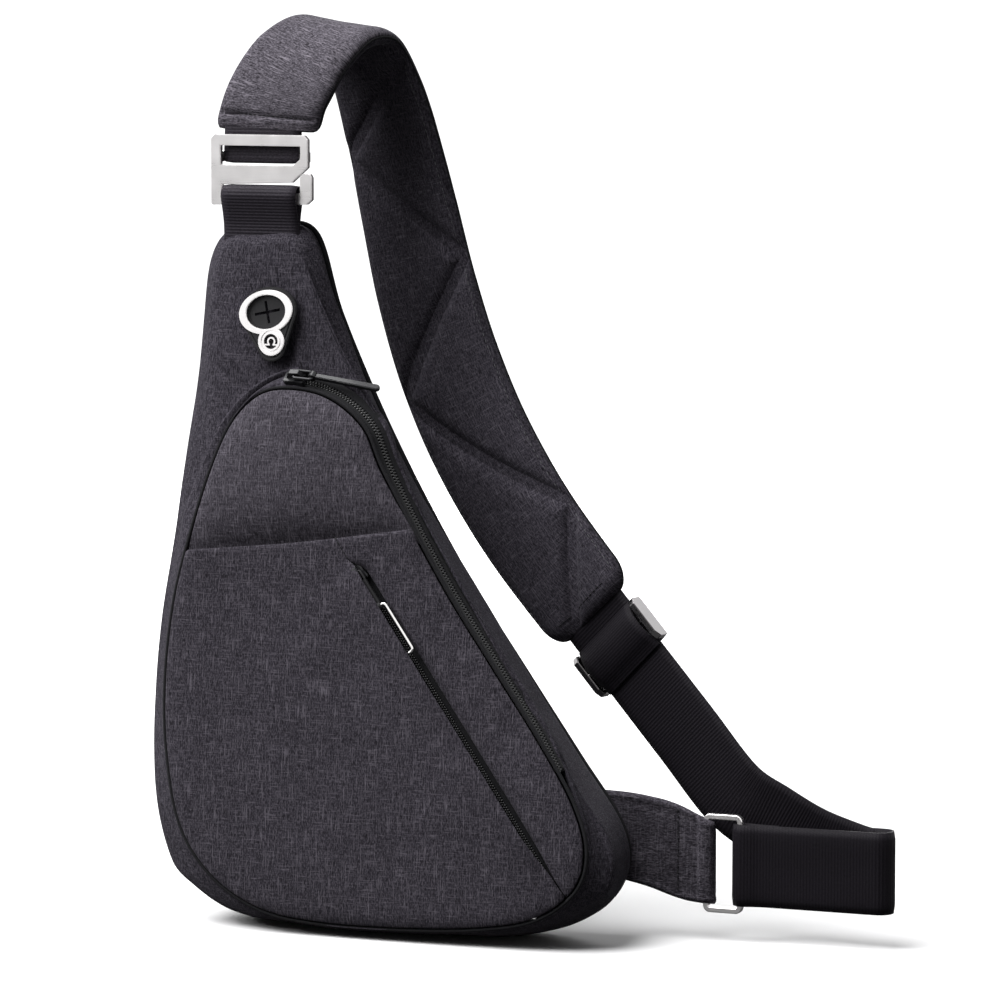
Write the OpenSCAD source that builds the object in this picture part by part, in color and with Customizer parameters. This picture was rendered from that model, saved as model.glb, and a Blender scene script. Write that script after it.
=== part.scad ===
// Sling bag: a padded teardrop body with one wide shoulder strap.
// Origin: middle of the flat base. +Z up, the front panel faces -Y, the strap is on the +X side.
// Every size is in millimetres.

/* [Body] */
// Height of the front plane's foot behind the origin (how deep the bag is at the base)
front_depth = 27; // [24:1:32]
// Distance of the back seam behind the origin
back_depth = 25; // [23:1:28]
// Lean of the front panel, in degrees
front_tilt = 5.6; // [4:0.2:7]
// Thickness of the body fabric
fabric_t = 1.6; // [1:0.1:2]
// Radius of the piping cord round the front panel
piping_r = 1.3; // [1:0.1:1.8]

/* [Zips] */
// Radius of the zip's arc over the top of the front panel
arch_r = 47; // [44:1:49]
// Half width of the channel that the pocket zip lies in
channel_half = 4.3; // [4.2:0.1:6]
// Length of the main zip's pull
main_pull_l = 42; // [25:1:46]

/* [Strap] */
// Width of the webbing
webbing_w = 38; // [30:1:38]
// Thickness of one layer of webbing
webbing_t = 1.3; // [1:0.1:1.4]
// Width of the shoulder pad
pad_w = 55; // [48:1:60]
// Thickness of the space between the pad's covers
foam_t = 6.4; // [5:0.2:6.4]
// Thickness of the pad's cover fabric
cover_t = 1.2; // [0.8:0.1:1.6]

/* [Hardware] */
// Thickness of the hook's plate
hook_t = 3; // [2.5:0.1:3]
// Depth of the rectangular ring's strip
ring_depth = 3.4; // [3:0.1:3.6]

/* [Hidden] */
$fn = 48;

gap = 0.35;
steps = 4;

// ---- vector and curve helpers ----
function unit(v) = v / norm(v);
function catmull(a, b, c, d, t) =
    0.5 * (2 * b + (c - a) * t + (2 * a - 5 * b + 4 * c - d) * t * t
           + (3 * b - a - 3 * c + d) * t * t * t);
function closed_curve(rows, m) =
    let (n = len(rows))
    [for (i = [0:n - 1], j = [0:m - 1])
        catmull(rows[(i + n - 1) % n], rows[i], rows[(i + 1) % n], rows[(i + 2) % n], j / m)];
function open_curve(rows, m) =
    let (n = len(rows), last = n - 1)
    concat(
        [for (i = [0:last - 1], j = [0:m - 1])
            catmull(rows[max(i - 1, 0)], rows[i], rows[i + 1], rows[min(i + 2, last)], j / m)],
        [rows[last]]);
// Outward unit normals of a closed outline that runs anticlockwise
function outline_normals(p) =
    let (n = len(p))
    [for (i = [0:n - 1]) let (t = unit(p[(i + 1) % n] - p[(i + n - 1) % n])) [t[1], -t[0]]];
function along(p) =
    [for (i = [0:len(p) - 1]) unit(p[min(i + 1, len(p) - 1)] - p[max(i - 1, 0)])];

// ---- solids from curves ----
// Skin between rings of equal length, closed round each ring and capped at both ends
module capped_loft(rings) {
    n = len(rings[0]);
    k = len(rings);
    points = [for (r = rings) each r];
    sides = [for (j = [0:k - 2], i = [0:n - 1])
        let (a = j * n + i, b = j * n + (i + 1) % n)
        each [[a, b, a + n], [b, b + n, a + n]]];
    caps = [[for (i = [n - 1:-1:0]) i], [for (i = [0:n - 1]) (k - 1) * n + i]];
    polyhedron(points = points, faces = concat(sides, caps));
}
// Skin closed both ways, like a bent tube or a hollow wall
module looped_loft(rings) {
    n = len(rings[0]);
    k = len(rings);
    points = [for (r = rings) each r];
    faces = [for (j = [0:k - 1], i = [0:n - 1])
        let (a = j * n + i, b = j * n + (i + 1) % n,
             c = ((j + 1) % k) * n + i, d = ((j + 1) % k) * n + (i + 1) % n)
        each [[a, b, c], [b, d, c]]];
    polyhedron(points = points, faces = faces);
}
// Flat strip between two edge curves, from height low to height high along its own normal
module strip(edge_a, edge_b, low, high) {
    mids = (edge_a + edge_b) / 2;
    dirs = along(mids);
    capped_loft([for (i = [0:len(mids) - 1])
        let (n = unit(cross(dirs[i], edge_b[i] - edge_a[i])))
        [edge_a[i] + n * high, edge_b[i] + n * high, edge_b[i] + n * low, edge_a[i] + n * low]]);
}
// Round tube along a closed ring of points whose outward directions are given
module ring_tube(points, outward, back, r) {
    looped_loft([for (i = [0:len(points) - 1])
        [for (a = [315:-45:0]) points[i] + outward[i] * r * cos(a) + back * r * sin(a)]]);
}
// Plate whose edges are eased in fine steps over the radius r
module soft_plate(t, r) {
    translate([0, 0, r]) linear_extrude(t - 2 * r) children();
    translate([0, 0, 0.35 * r]) linear_extrude(t - 0.7 * r) offset(delta = -0.25 * r) children();
    linear_extrude(t) offset(delta = -0.8 * r) children();
}
// Closed frame of bent bar: l along x, w along y, both to the bar's middle line. The bar's
// section is drawn by the children round the origin, and bend is the corners' radius.
module bar_frame(l, w, bend) {
    for (side = [-1, 1]) {
        translate([-l / 2 + bend, side * w / 2, 0]) rotate([90, 0, 90])
            linear_extrude(l - 2 * bend) children();
        translate([side * l / 2, w / 2 - bend, 0]) rotate([90, 0, 0])
            linear_extrude(w - 2 * bend) children();
    }
    for (k = [0:3])
        translate([(k == 0 || k == 3 ? 1 : -1) * (l / 2 - bend), (k < 2 ? 1 : -1) * (w / 2 - bend), 0])
            rotate(90 * k) rotate_extrude(angle = 90) translate([bend, 0]) children();
}

// ---- body outlines ----
// Each row: front seam x, w; belly x, z; back seam x, z; zip band outward, zip band deep.
// w is measured up the leaning front plane. Rows run anticlockwise from the top.
arch_x = -52;
arch_w = 206;
function on_arch(a) = [arch_x + arch_r * cos(a), arch_w + arch_r * sin(a)];
function body_row(front, belly, back, zip) = concat(front, belly, back, zip);
no_zip = [0.8, 0];
top_zip = [7, 7];
side_zip = [3, 11];
body_rows = [
    body_row(on_arch(90), [-76, 326], [-76, 325], top_zip),
    body_row([-69, 250], [-92.5, 324], [-91.5, 323], [2, 1]),
    body_row([-83, 236], [-102, 311], [-99.5, 310], no_zip),
    body_row([-93, 213], [-106.4, 283], [-103.5, 282], no_zip),
    body_row([-102, 183], [-110.2, 238], [-107, 237], no_zip),
    body_row([-109, 152], [-114.4, 190], [-110.5, 189], no_zip),
    body_row([-112, 116], [-121, 140], [-116, 140], no_zip),
    body_row([-110, 82], [-122.8, 86], [-117, 86], no_zip),
    body_row([-102, 48], [-117.4, 46], [-111, 47], no_zip),
    body_row([-85, 25], [-101.5, 15], [-95.5, 18], no_zip),
    body_row([-60, 11], [-73, 1], [-68.5, 6], no_zip),
    body_row([-30, 6.5], [-35, 0], [-35, 3.5], no_zip),
    body_row([10, 6.5], [10, 0], [10, 3.5], no_zip),
    body_row([48, 9], [50, 0], [50, 3.5], no_zip),
    body_row([77, 15], [78, 5.5], [74, 9], no_zip),
    body_row([96, 29], [100.5, 17.5], [94, 21], no_zip),
    body_row([101, 47], [111, 34], [103, 36], no_zip),
    body_row([94, 69], [107, 54], [98.5, 55], [1, 2]),
    body_row([76, 97], [87, 82], [79.5, 82], [2.5, 9]),
    body_row([54, 127], [61, 120], [53.5, 119], side_zip),
    body_row([30, 160], [34, 160], [26.5, 158], side_zip),
    body_row([10, 191], [8, 200], [1.5, 199], side_zip),
    body_row(on_arch(14), [-15, 241], [-20.5, 240], [6, 8]),
    body_row(on_arch(40), [-36, 286], [-41, 285], top_zip),
    body_row(on_arch(66), [-51.5, 321], [-55, 321.5], top_zip)
];
body_curve = closed_curve(body_rows, steps);
count = len(body_curve);
front_2d = [for (p = body_curve) [p[0], p[1]]];
belly_2d = [for (p = body_curve) [p[2], max(p[3], 0)]];
back_2d = [for (p = body_curve) [p[4], p[5]]];
front_out = outline_normals(front_2d);
belly_out = outline_normals(belly_2d);
back_out = outline_normals(back_2d);

function front_point(p, n) =
    [p[0], -front_depth + p[1] * sin(front_tilt) - n * cos(front_tilt),
     p[1] * cos(front_tilt) + n * sin(front_tilt)];
// Front seam ring, moved outward in its plane and sunk behind it
function front_ring(out, n) =
    [for (i = [0:count - 1]) front_point(front_2d[i] + front_out[i] * out, n)];
function zip_share(share, lift) =
    [for (i = [0:count - 1])
        front_point(front_2d[i] + front_out[i] * (body_curve[i][6] * share + lift),
                    lift - body_curve[i][7] * share)];
// The belly's front edge leans back towards the neck
function belly_front_y(z) = -20 + 28 * min(z / 260, 1);
function belly_ring(inset, shift) =
    [for (i = [0:count - 1])
        let (p = belly_2d[i] - belly_out[i] * inset)
        [p[0], belly_front_y(belly_2d[i][1]) + shift, p[1]]];
// The belly's rear edge is drawn in on the strap's side
rear_in = 3.7;
function belly_rear(inset) =
    [for (i = [0:count - 1])
        let (p = belly_2d[i] - belly_out[i] * inset)
        [p[0] - rear_in * max(belly_out[i][0], 0), 20, p[1]]];
function flat_ring(outline, out, inset, y) =
    [for (i = [0:count - 1])
        let (p = outline[i] - out[i] * inset) [p[0], y, p[1]]];

module on_front() {
    translate([0, -front_depth, 0]) rotate([90 - front_tilt, 0, 0]) children();
}
module at_back(y) {
    translate([0, y, 0]) rotate([90, 0, 0]) children();
}
module front_outline(inset) {
    polygon([for (i = [0:count - 1]) front_2d[i] - front_out[i] * inset]);
}
module back_outline(inset) {
    polygon([for (i = [0:count - 1]) back_2d[i] - back_out[i] * inset]);
}

// ---- front panels ----
pocket_left = [-125, 174];
pocket_mid = [-45, 182];
pocket_right = [40, 195];
zip_top = [-20, 176];
zip_bottom = [89, 27];
zip_dir = unit(zip_bottom - zip_top);
zip_side = [-zip_dir[1], zip_dir[0]];
zip_angle = atan2(zip_dir[1], zip_dir[0]);
zip_length = norm(zip_bottom - zip_top);

module above_pocket(shift) {
    polygon([pocket_left + [0, shift], pocket_mid + [0, shift], pocket_right + [0, shift],
             [40, 300], [-125, 300]]);
}
module below_pocket(shift) {
    polygon([[-140, -20], [130, -20], [130, 205 + shift], pocket_right + [0, shift],
             pocket_mid + [0, shift], pocket_left + [-15, shift - 2]]);
}
// Everything on one side of the pocket zip's line
module zip_half(side, clear) {
    translate(zip_top) rotate(zip_angle) translate([-150, side > 0 ? clear : -400 - clear])
        square([500, 400]);
}
module front_upper_panel() {
    color("#3a3a3e") on_front() translate([0, 0, 0.4]) linear_extrude(3)
        intersection() {
            front_outline(1.8);
            above_pocket(0.5);
        }
}
module front_pocket_panel() {
    color("#333337") on_front() translate([0, 0, 0.4]) linear_extrude(3.4)
        intersection() {
            front_outline(1.8);
            below_pocket(0);
            zip_half(-1, channel_half);
        }
}
module front_corner_panel() {
    color("#2f2f33") on_front() translate([0, 0, 0.4]) linear_extrude(2)
        intersection() {
            front_outline(1.8);
            below_pocket(0);
            zip_half(1, channel_half);
        }
}
module front_lining() {
    color("#222225") on_front() translate([0, 0, -2.6]) linear_extrude(1.2) front_outline(3);
}
module front_piping() {
    color("#1c1c1e")
        ring_tube(front_ring(0.3, 1.6), [for (o = front_out) [o[0], o[1] * sin(front_tilt),
                  o[1] * cos(front_tilt)]], [0, cos(front_tilt), -sin(front_tilt)], piping_r);
}

// ---- gusset, back and inside ----
module side_gusset() {
    color("#2c2c30") difference() {
        looped_loft([
            zip_share(1, 0), belly_ring(0, 0), belly_rear(0),
            flat_ring(back_2d, back_out, 0, back_depth),
            flat_ring(back_2d, back_out, fabric_t, back_depth),
            belly_rear(fabric_t),
            belly_ring(fabric_t, fabric_t),
            [for (i = [0:count - 1]) front_point(front_2d[i] + front_out[i]
                * (body_curve[i][6] - fabric_t), -body_curve[i][7] - fabric_t)]
        ]);
        translate([neck_x - webbing_w / 2 - gap, neck_y - 2 * gap - webbing_t, 310])
            cube([webbing_w + 2 * gap, 2 * webbing_t + 4 * gap, 30]);
        on_neck() translate([0, 0, -8]) linear_extrude(20) offset(delta = gap) plaque_outline();
    }
}
module back_binding() {
    color("#19191b")
        ring_tube(flat_ring(back_2d, back_out, -0.6, back_depth + 1.35),
                  [for (o = back_out) [o[0], 0, o[1]]], [0, 1, 0], 1.1);
}
module back_panel() {
    color("#26262a") at_back(back_depth + 2) linear_extrude(1.8) back_outline(1.9);
}
module back_foam() {
    color("#48484c") at_back(back_depth - gap) linear_extrude(4) back_outline(3);
}
module back_lining() {
    color("#222225") at_back(back_depth - 4.7) linear_extrude(1) back_outline(4);
}
module inner_divider() {
    color("#1f1f22") at_back(back_depth - 9) linear_extrude(1)
        intersection() {
            back_outline(12);
            translate([-140, 12]) square([280, 150]);
        }
}
module base_stiffener() {
    color("#151517") translate([-34, 1, 2.2]) cube([86, 17, 1.6]);
}

// ---- main zip ----
zip_first = 17 * steps + 2;
zip_last = 25 * steps;
function zip_edge(share, lift) =
    let (ring = zip_share(share, lift)) [for (i = [zip_first:zip_last]) ring[i % count]];
module main_zip_front_tape() {
    color("#101012") strip(zip_edge(0.30, 0), zip_edge(0.04, 0), -0.8, -0.1);
}
module main_zip_chain() {
    color("#0c0c0e") strip(zip_edge(0.66, 0), zip_edge(0.34, 0), -0.6, 0.3);
}
module main_zip_rear_tape() {
    color("#101012") strip(zip_edge(0.96, 0), zip_edge(0.70, 0), -0.8, -0.1);
}
// The slider's own frame: x along the zip, y across it, z away from it
module at_main_slider() {
    on_front() translate([arch_x, arch_w + arch_r + 3.5, -3.5]) rotate([-45, 0, 0])
        translate([0, 0, 0.9]) children();
}
module slider_outline(l, w) {
    polygon([[-l / 2, -w * 0.32], [-l / 2 + 1, -w * 0.4], [l * 0.1, -w * 0.42], [l / 2 - 1, -w / 2],
             [l / 2, -w * 0.42], [l / 2 - 1.4, 0], [l / 2, w * 0.42], [l / 2 - 1, w / 2],
             [l * 0.1, w * 0.42], [-l / 2 + 1, w * 0.4], [-l / 2, w * 0.32]]);
}
module slider_body(l, w, h) {
    difference() {
        soft_plate(h, 0.4) slider_outline(l, w);
        translate([-l, -1.6, -1]) cube([2 * l, 3.2, 1.9]);
    }
}
// Bridge that the pull hangs from, with a hole through it along y
bridge_hole = 1.5;
module slider_bridge(l, w, z) {
    translate([0, w / 2, z]) rotate([90, 0, 0]) linear_extrude(w)
        difference() {
            hull() {
                translate([-l / 2 + 1, 0]) square([2, 0.6], center = true);
                translate([l / 2 - 1, 0]) square([2, 0.6], center = true);
                translate([-l / 4, 2.5]) circle(0.7, $fn = 16);
                translate([l / 4, 2.5]) circle(0.7, $fn = 16);
            }
            translate([0, bridge_hole]) circle(1.05, $fn = 24);
        }
}
module main_zip_slider() {
    color("#17171a") at_main_slider() {
        slider_body(11, 8.4, 2.8);
        slider_bridge(8, 2.6, 2.7);
    }
}
pull_rise = 2.7 + bridge_hole;
pull_drop = 6;
pull_bend = 6;
module at_main_pull() {
    at_main_slider() translate([0, 0, pull_rise]) rotate([0, pull_drop, 0]) children();
}
// Wire loop through the slider's bridge
module main_pull_link() {
    color("#9a9a9e") at_main_pull() translate([4.5, 0, 0])
        bar_frame(9, 4.9, 1.2) circle(0.75, $fn = 20);
}
module main_zip_pull() {
    color("#121214") at_main_pull() {
        translate([9, 0, 0]) rotate([90, 0, 0]) difference() {
            cylinder(r = 2, h = 3, center = true);
            cylinder(r = 0.8, h = 4, center = true);
        }
        translate([9, 0, 0]) rotate([0, pull_bend, 0]) translate([1.6, 0, -1.1])
            soft_plate(2.2, 0.6) hull() {
                translate([0, -1.3]) square([2, 2.6]);
                translate([main_pull_l - 12.6, 0]) circle(1.7, $fn = 24);
            }
    }
}

// ---- pocket zip ----
// Frame along the pocket zip: x down the zip, y towards the corner panel, z off the front plane
module at_pocket_zip() {
    on_front() translate(zip_top) rotate(zip_angle) children();
}
module pocket_zip_tape() {
    color("#101012") at_pocket_zip() translate([2, -9, -1]) cube([zip_length - 6, 18, 0.8]);
}
module pocket_zip_chain() {
    color("#0c0c0e") at_pocket_zip() translate([4, -1.4, -0.1]) cube([zip_length - 12, 2.8, 0.9]);
}
pocket_slider_x = 8;
module pocket_zip_slider() {
    color("#1a1a1d") at_pocket_zip() translate([pocket_slider_x, 0, 0.15]) {
        slider_body(9, 7.2, 2.6);
        slider_bridge(6.5, 2.2, 2.5);
    }
}
pocket_pull_z = 0.15 + 2.5 + bridge_hole;
wire_r = 0.8;
wire_w = 8.4;
wire_l = 26;
wire_x = 19.4;
wire_z = 0.85;
module at_pocket_pull() {
    at_pocket_zip() translate([pocket_slider_x, 0, pocket_pull_z]) children();
}
module pocket_pull_tape() {
    color("#151517") at_pocket_pull() {
        translate([2.6, 0, 0]) bar_frame(5.2, 3.6, 1) circle(0.65, $fn = 20);
        translate([5, -2.4, -0.5]) soft_plate(1.6, 0.3) square([13.2, 4.8]);
        translate([wire_x, 0, wire_z]) rotate([90, 0, 0]) difference() {
            cylinder(r = 1.7, h = 4.8, center = true);
            cylinder(r = wire_r + 0.08, h = 6, center = true);
        }
    }
}
module pocket_pull_wire() {
    color("#c9c9cc") at_pocket_pull() translate([wire_x + wire_l / 2, 0, wire_z])
        bar_frame(wire_l, wire_w, 1.6) circle(wire_r, $fn = 20);
}

// ---- earphone port ----
port_x = -68.2;
port_w = 286.8;
neck_tilt = 4;
module on_neck() {
    translate([port_x, 5.0, port_w]) rotate([90 - neck_tilt, 0, 0]) children();
}
function ellipse(a, b, n) = [for (i = [0:n - 1]) [a * cos(360 * i / n), b * sin(360 * i / n)]];
port_turn = 12;
boss = [3.1, -13.6];
module plaque_outline() {
    hull() {
        translate([0.9, 0]) rotate(port_turn) polygon(ellipse(14.6, 11.7, 40));
        translate([3, -16]) circle(7, $fn = 32);
    }
}
module earphone_port() {
    color("#141416") on_neck() difference() {
        soft_plate(2.6, 0.8) plaque_outline();
        translate([0, 0, 2.1]) linear_extrude(1) difference() {
            offset(delta = -1.4) plaque_outline();
            offset(delta = -2.1) plaque_outline();
        }
        rotate(port_turn) translate([0, 0, -1]) linear_extrude(2.4) polygon(ellipse(9, 7.4, 40));
        translate([0, 0, 1.3]) linear_extrude(3) port_outline(0.2);
    }
}
module port_outline(grow) {
    hull() {
        rotate(port_turn) polygon(ellipse(13.8 + grow, 10.2 + grow, 48));
        translate([1.4, -6]) circle(4.4 + grow, $fn = 32);
    }
    hull() {
        translate([1.8, -8]) circle(3.4 + grow, $fn = 32);
        translate(boss) circle(6.7 + grow, $fn = 32);
    }
}
// Metal loop with a round boss below it, whose hole holds a plain horseshoe on two feet
module port_ring() {
    color("#b9b9bd") on_neck() translate([0, 0, 1.35]) {
        difference() {
            soft_plate(2.1, 0.5) difference() {
                port_outline(0);
                rotate(port_turn) polygon(ellipse(10, 7.9, 48));
            }
            translate([boss[0], boss[1], -1]) cylinder(r = 3.5, h = 5);
            translate([boss[0], boss[1], 1.6]) rotate_extrude($fn = 48)
                translate([4.5, 0]) square([0.6, 2]);
        }
        translate([boss[0], boss[1], 0.3]) {
            rotate(-50) rotate_extrude(angle = 280, $fn = 40) translate([1.3, 0]) square([0.8, 1.3]);
            for (side = [-1, 1])
                translate([side * 2.2 - 1.5, -1.9]) cube([3, 0.7, 1.3]);
        }
    }
}
module port_membrane() {
    color("#0e0e10") on_neck() translate([0, 0, 0.2]) linear_extrude(1) rotate(port_turn)
        difference() {
            polygon(ellipse(8.9, 7.3, 40));
            square([13, 1.3], center = true);
            square([1.3, 10.5], center = true);
        }
}

// ---- webbing and hook ----
neck_x = -74.5;
neck_y = 12;
arm_z = 339.5;
module neck_webbing() {
    color("#131315") translate([neck_x - webbing_w / 2, neck_y - webbing_t, 296])
        cube([webbing_w, 2 * webbing_t, 31.5]);
}
// Loop of webbing seen from its edge, round a bar at the origin, with its tail along +x.
// The hole runs to a point where the two layers meet.
module webbing_eye(inner, point, tail, half) {
    outer = inner + webbing_t;
    difference() {
        polygon(concat([for (a = [45:10:315]) outer * [cos(a), sin(a)]],
                       [[point, -half], [tail, -half], [tail, half], [point, half]]));
        polygon(concat([for (a = [50:10:310]) inner * [cos(a), sin(a)]], [[point - 0.4, 0]]));
    }
}
module upright_eye(inner, point, tail, half, turn) {
    rotate([90, 0, 90]) linear_extrude(webbing_w, center = true) rotate(turn)
        webbing_eye(inner, point, tail, half);
}
module hook_webbing_lower() {
    color("#131315") translate([neck_x, neck_y, arm_z + 0.2])
        upright_eye(3.1, 7.4, 8.2, webbing_t, -90);
}
hook_left = -100;
hook_right = -50.4;
hook_top = 369;
module hook_outline() {
    offset(r = 0.9) offset(delta = -0.9) difference() {
        polygon([[hook_left, 336], [hook_left, hook_top - 2], [hook_left + 2, hook_top],
                 [hook_right - 2, hook_top], [hook_right, hook_top - 2], [hook_right, 354],
                 [hook_right - 8, 346.9], [-94.3, 345.6], [-94.3, 342.2], [-54.6, 342.2],
                 [-54.6, 349.4], [-52.6, 351.2], [-49.4, 351.2], [-48.4, 349.4], [-48.4, 339],
                 [-51, 336.8]]);
        polygon([[-95, 363.8], [-54.4, 363.8], [-54.4, 358], [-58, 354.8], [-95, 354.8]]);
    }
}
module g_hook() {
    color("#c4c4c8") translate([0, neck_y + hook_t / 2, 0]) rotate([90, 0, 0])
        soft_plate(hook_t, 0.5) hook_outline();
    color("#c4c4c8") for (x = [-96.6, -53.9])
        translate([x - 1.4, neck_y + hook_t / 2 - 0.1, bar_z - 2.4]) cube([2.8, 5.2, 4.8]);
}
bar_z = 358.6;
bar_y = neck_y + hook_t / 2 + 3.4;
module hook_cross_bar() {
    color("#b0b0b4") translate([-95.15, bar_y, bar_z]) rotate([0, 90, 0])
        cylinder(r = 1.5, h = 39.8);
}
module hook_webbing_upper() {
    color("#131315") translate([neck_x - 1.4, bar_y, bar_z])
        upright_eye(1.5 + gap / 2, 8, 20, webbing_t, 90);
}

// ---- shoulder pad and lower webbing ----
// Each row: centre x, y, z, then the angle of the strap's width above +X and its reach along Y.
// The rows run from the hook, over the crest and down behind the bag.
pad_rows = [
    [-74, 17.6, 371.2, -1.5, -0.04], [-69, 18.8, 388, -6, -0.12], [-59, 27, 407, -11, -0.20],
    [-51, 42, 416.8, -9, -0.26], [-45, 58, 412, -3, -0.30], [-40, 70, 390, 4, -0.30],
    [-34, 76, 360, 9, -0.26], [-27, 78, 328, 13, -0.18], [-18, 77, 293, 19, -0.10],
    [-5, 74, 257, 27, -0.04], [14, 70, 220, 34, -0.04], [40, 65.5, 183, 40, -0.08],
    [74, 60, 145, 45, -0.14]
];
strap_end = [74, 60, 145];
strap_low = [148.5, 44, 67];
strap_dir = unit(strap_low - strap_end);
strap_side = unit([cos(45), -0.14, sin(45)]);
eye_r = 2.4;
fold_x = 221;
fold_y = 39.5;
fold_r = 6.5;
web_rows = [
    concat(strap_end - 13 * strap_dir, [45, -0.14]), concat(strap_end, [45, -0.14]),
    concat((2 * strap_end + strap_low) / 3, [45, -0.14]),
    concat((strap_end + 2 * strap_low) / 3, [45, -0.14]), concat(strap_low, [46, -0.14]),
    [168, 43.5, 55, 57, -0.1], [186, 44.5, 45, 70, -0.05], [205, 46, 38, 82, 0],
    [214, 46, 36, 90, 0]
];
fold_rows = [for (a = [90:-30:-90]) [fold_x + fold_r * cos(a), fold_y + fold_r * sin(a), 36, 90, 0]];
front_rows = [[205, 33, 36, 90, 0], [162, 33.6, 36, 90, 0]];
web_path = concat(open_curve(web_rows, 4), fold_rows, front_rows);
pad_path = open_curve(pad_rows, 6);
pad_level = 12;

function path_centre(path) = [for (p = path) [p[0], p[1], p[2]]];
// Width directions: square to the path, apart from an end cut level over the first few stations
function width_dirs(path, level, skip) =
    let (dirs = along(path_centre(path)))
    [for (i = [0:len(path) - 1])
        let (d = [cos(path[i][3]), path[i][4], sin(path[i][3])],
             w = min(1, (i + skip) / max(level, 0.5)), square = level == 0 ? 1 : w * w * (3 - 2 * w))
        unit(d - dirs[i] * (d * dirs[i]) * square)];
module ribbon(path, width, low, high, level = 0, skip = 0) {
    centre = path_centre(path);
    side = width_dirs(path, level, skip);
    strip(centre - side * width / 2, centre + side * width / 2, low, high);
}
function part_of(path, first, last) = [for (i = [first:last]) path[i]];
module pad_outer_cover() {
    color("#3c3c40")
        ribbon(pad_path, pad_w, -foam_t / 2 - cover_t, -foam_t / 2 - 0.05, pad_level);
}
module pad_foam() {
    color("#55555a")
        ribbon(part_of(pad_path, 6, len(pad_path) - 6), pad_w - 5, 0.9 - foam_t / 2,
               foam_t / 2 - 0.9, pad_level, 6);
}
module pad_inner_cover() {
    color("#303034") ribbon(pad_path, pad_w, foam_t / 2 + 0.05, foam_t / 2 + cover_t, pad_level);
}
module lower_webbing() {
    color("#131315") {
        ribbon(web_path, webbing_w, -webbing_t, webbing_t);
        translate([ring_bar_x, ring_y, 36]) linear_extrude(webbing_w - 0.4, center = true)
            rotate(-4) webbing_eye(eye_r, 5, 8, webbing_t + 0.2);
    }
}

// ---- adjuster ----
adjuster_at = 20;
adjuster_side = unit(strap_side - strap_dir * (strap_side * strap_dir));
adjuster_out = cross(strap_dir, adjuster_side);
// Adjuster's frame: x across the webbing, y up the strap, z off its inner face
module at_adjuster() {
    s = adjuster_side;
    d = -strap_dir;
    n = adjuster_out;
    o = strap_end + strap_dir * adjuster_at;
    multmatrix([[s[0], d[0], n[0], o[0]], [s[1], d[1], n[1], o[1]], [s[2], d[2], n[2], o[2]],
                [0, 0, 0, 1]]) children();
}
module adjuster_frame() {
    low = -webbing_t - 0.4 - 1.6;
    color("#bdbdc1") at_adjuster() {
        for (side = [-1, 1])
            translate([side * 21.4, 0, 0]) rotate([90, 0, 90]) translate([0, 0, -1.5])
                soft_plate(3, 0.4) offset(r = 1) offset(delta = -1)
                polygon([[-11.5, low], [11.5, low], [11.5, 3], [8.5, 5.2], [-8.5, 5.2], [-11.5, 3]]);
        for (y = [-9.9, 9.9])
            translate([-20.2, y - 1.5, low]) cube([40.4, 3, 1.6]);
    }
}
module adjuster_bar() {
    color("#a9a9ad") at_adjuster() translate([-19.9, 0, 3.45]) rotate([0, 90, 0])
        cylinder(r = 1.2, h = 39.8);
}
module adjuster_webbing() {
    color("#161618") at_adjuster() translate([0, 0, 3.45]) rotate([90, 0, 90])
        linear_extrude(webbing_w - 0.6, center = true) difference() {
            hull() {
                translate([-8, 0]) circle(1.75, $fn = 24);
                translate([8, 0]) circle(1.75, $fn = 24);
            }
            circle(1.25);
        }
}

// ---- wing and ring ----
ring_y = 34;
ring_bar_x = 155.8;
wing_bar_x = 139.4;
// Edges of the wing seen from the front
module wing_outline(x0, x1) {
    intersection() {
        polygon([[84, 68], [105, 67.5], [122, 64.5], [134, 59.5], [139, 55.3], [146, 55.3],
                 [146, 16.7], [137, 16.7], [124, 19.5], [112, 25.5], [84, 28]]);
        translate([x0, 0]) square([x1 - x0, 100]);
    }
}
// Wing seen from above, as a band between two polylines
module wing_band() {
    polygon([[84, 27.9], [104, 27.9], [120, 29.4], [133, 31.2], [139, 29.8], [139, 31.5],
             [134.5, 33.2], [134.5, 34.8], [139, 36.5], [139, 38.2], [132, 34.9],
             [120, 32.2], [104, 30.4], [84, 30.4]]);
}
module wing_piece(x0, x1) {
    intersection() {
        linear_extrude(100) wing_band();
        translate([0, 60, 0]) rotate([90, 0, 0]) linear_extrude(60) wing_outline(x0, x1);
    }
}
split_x = 117;
module wing_root() {
    color("#2e2e32") wing_piece(84, split_x - 2.5);
}
module wing_tip() {
    color("#2e2e32") {
        wing_piece(split_x + 2.5, 139);
        translate([wing_bar_x - 0.4, ring_y, 16.7]) linear_extrude(38.6) difference() {
            circle(4.2);
            circle(2.5);
            translate([-10, -5]) square([10, 10]);
        }
    }
}
module rectangular_ring() {
    color("#c4c4c8") translate([(wing_bar_x + ring_bar_x) / 2, ring_y, 36])
        rotate([90, 0, 0]) bar_frame(ring_bar_x - wing_bar_x, 43.4, 2)
            offset(r = 0.5, $fn = 16) square([1.6, ring_depth - 1], center = true);
}

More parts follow.
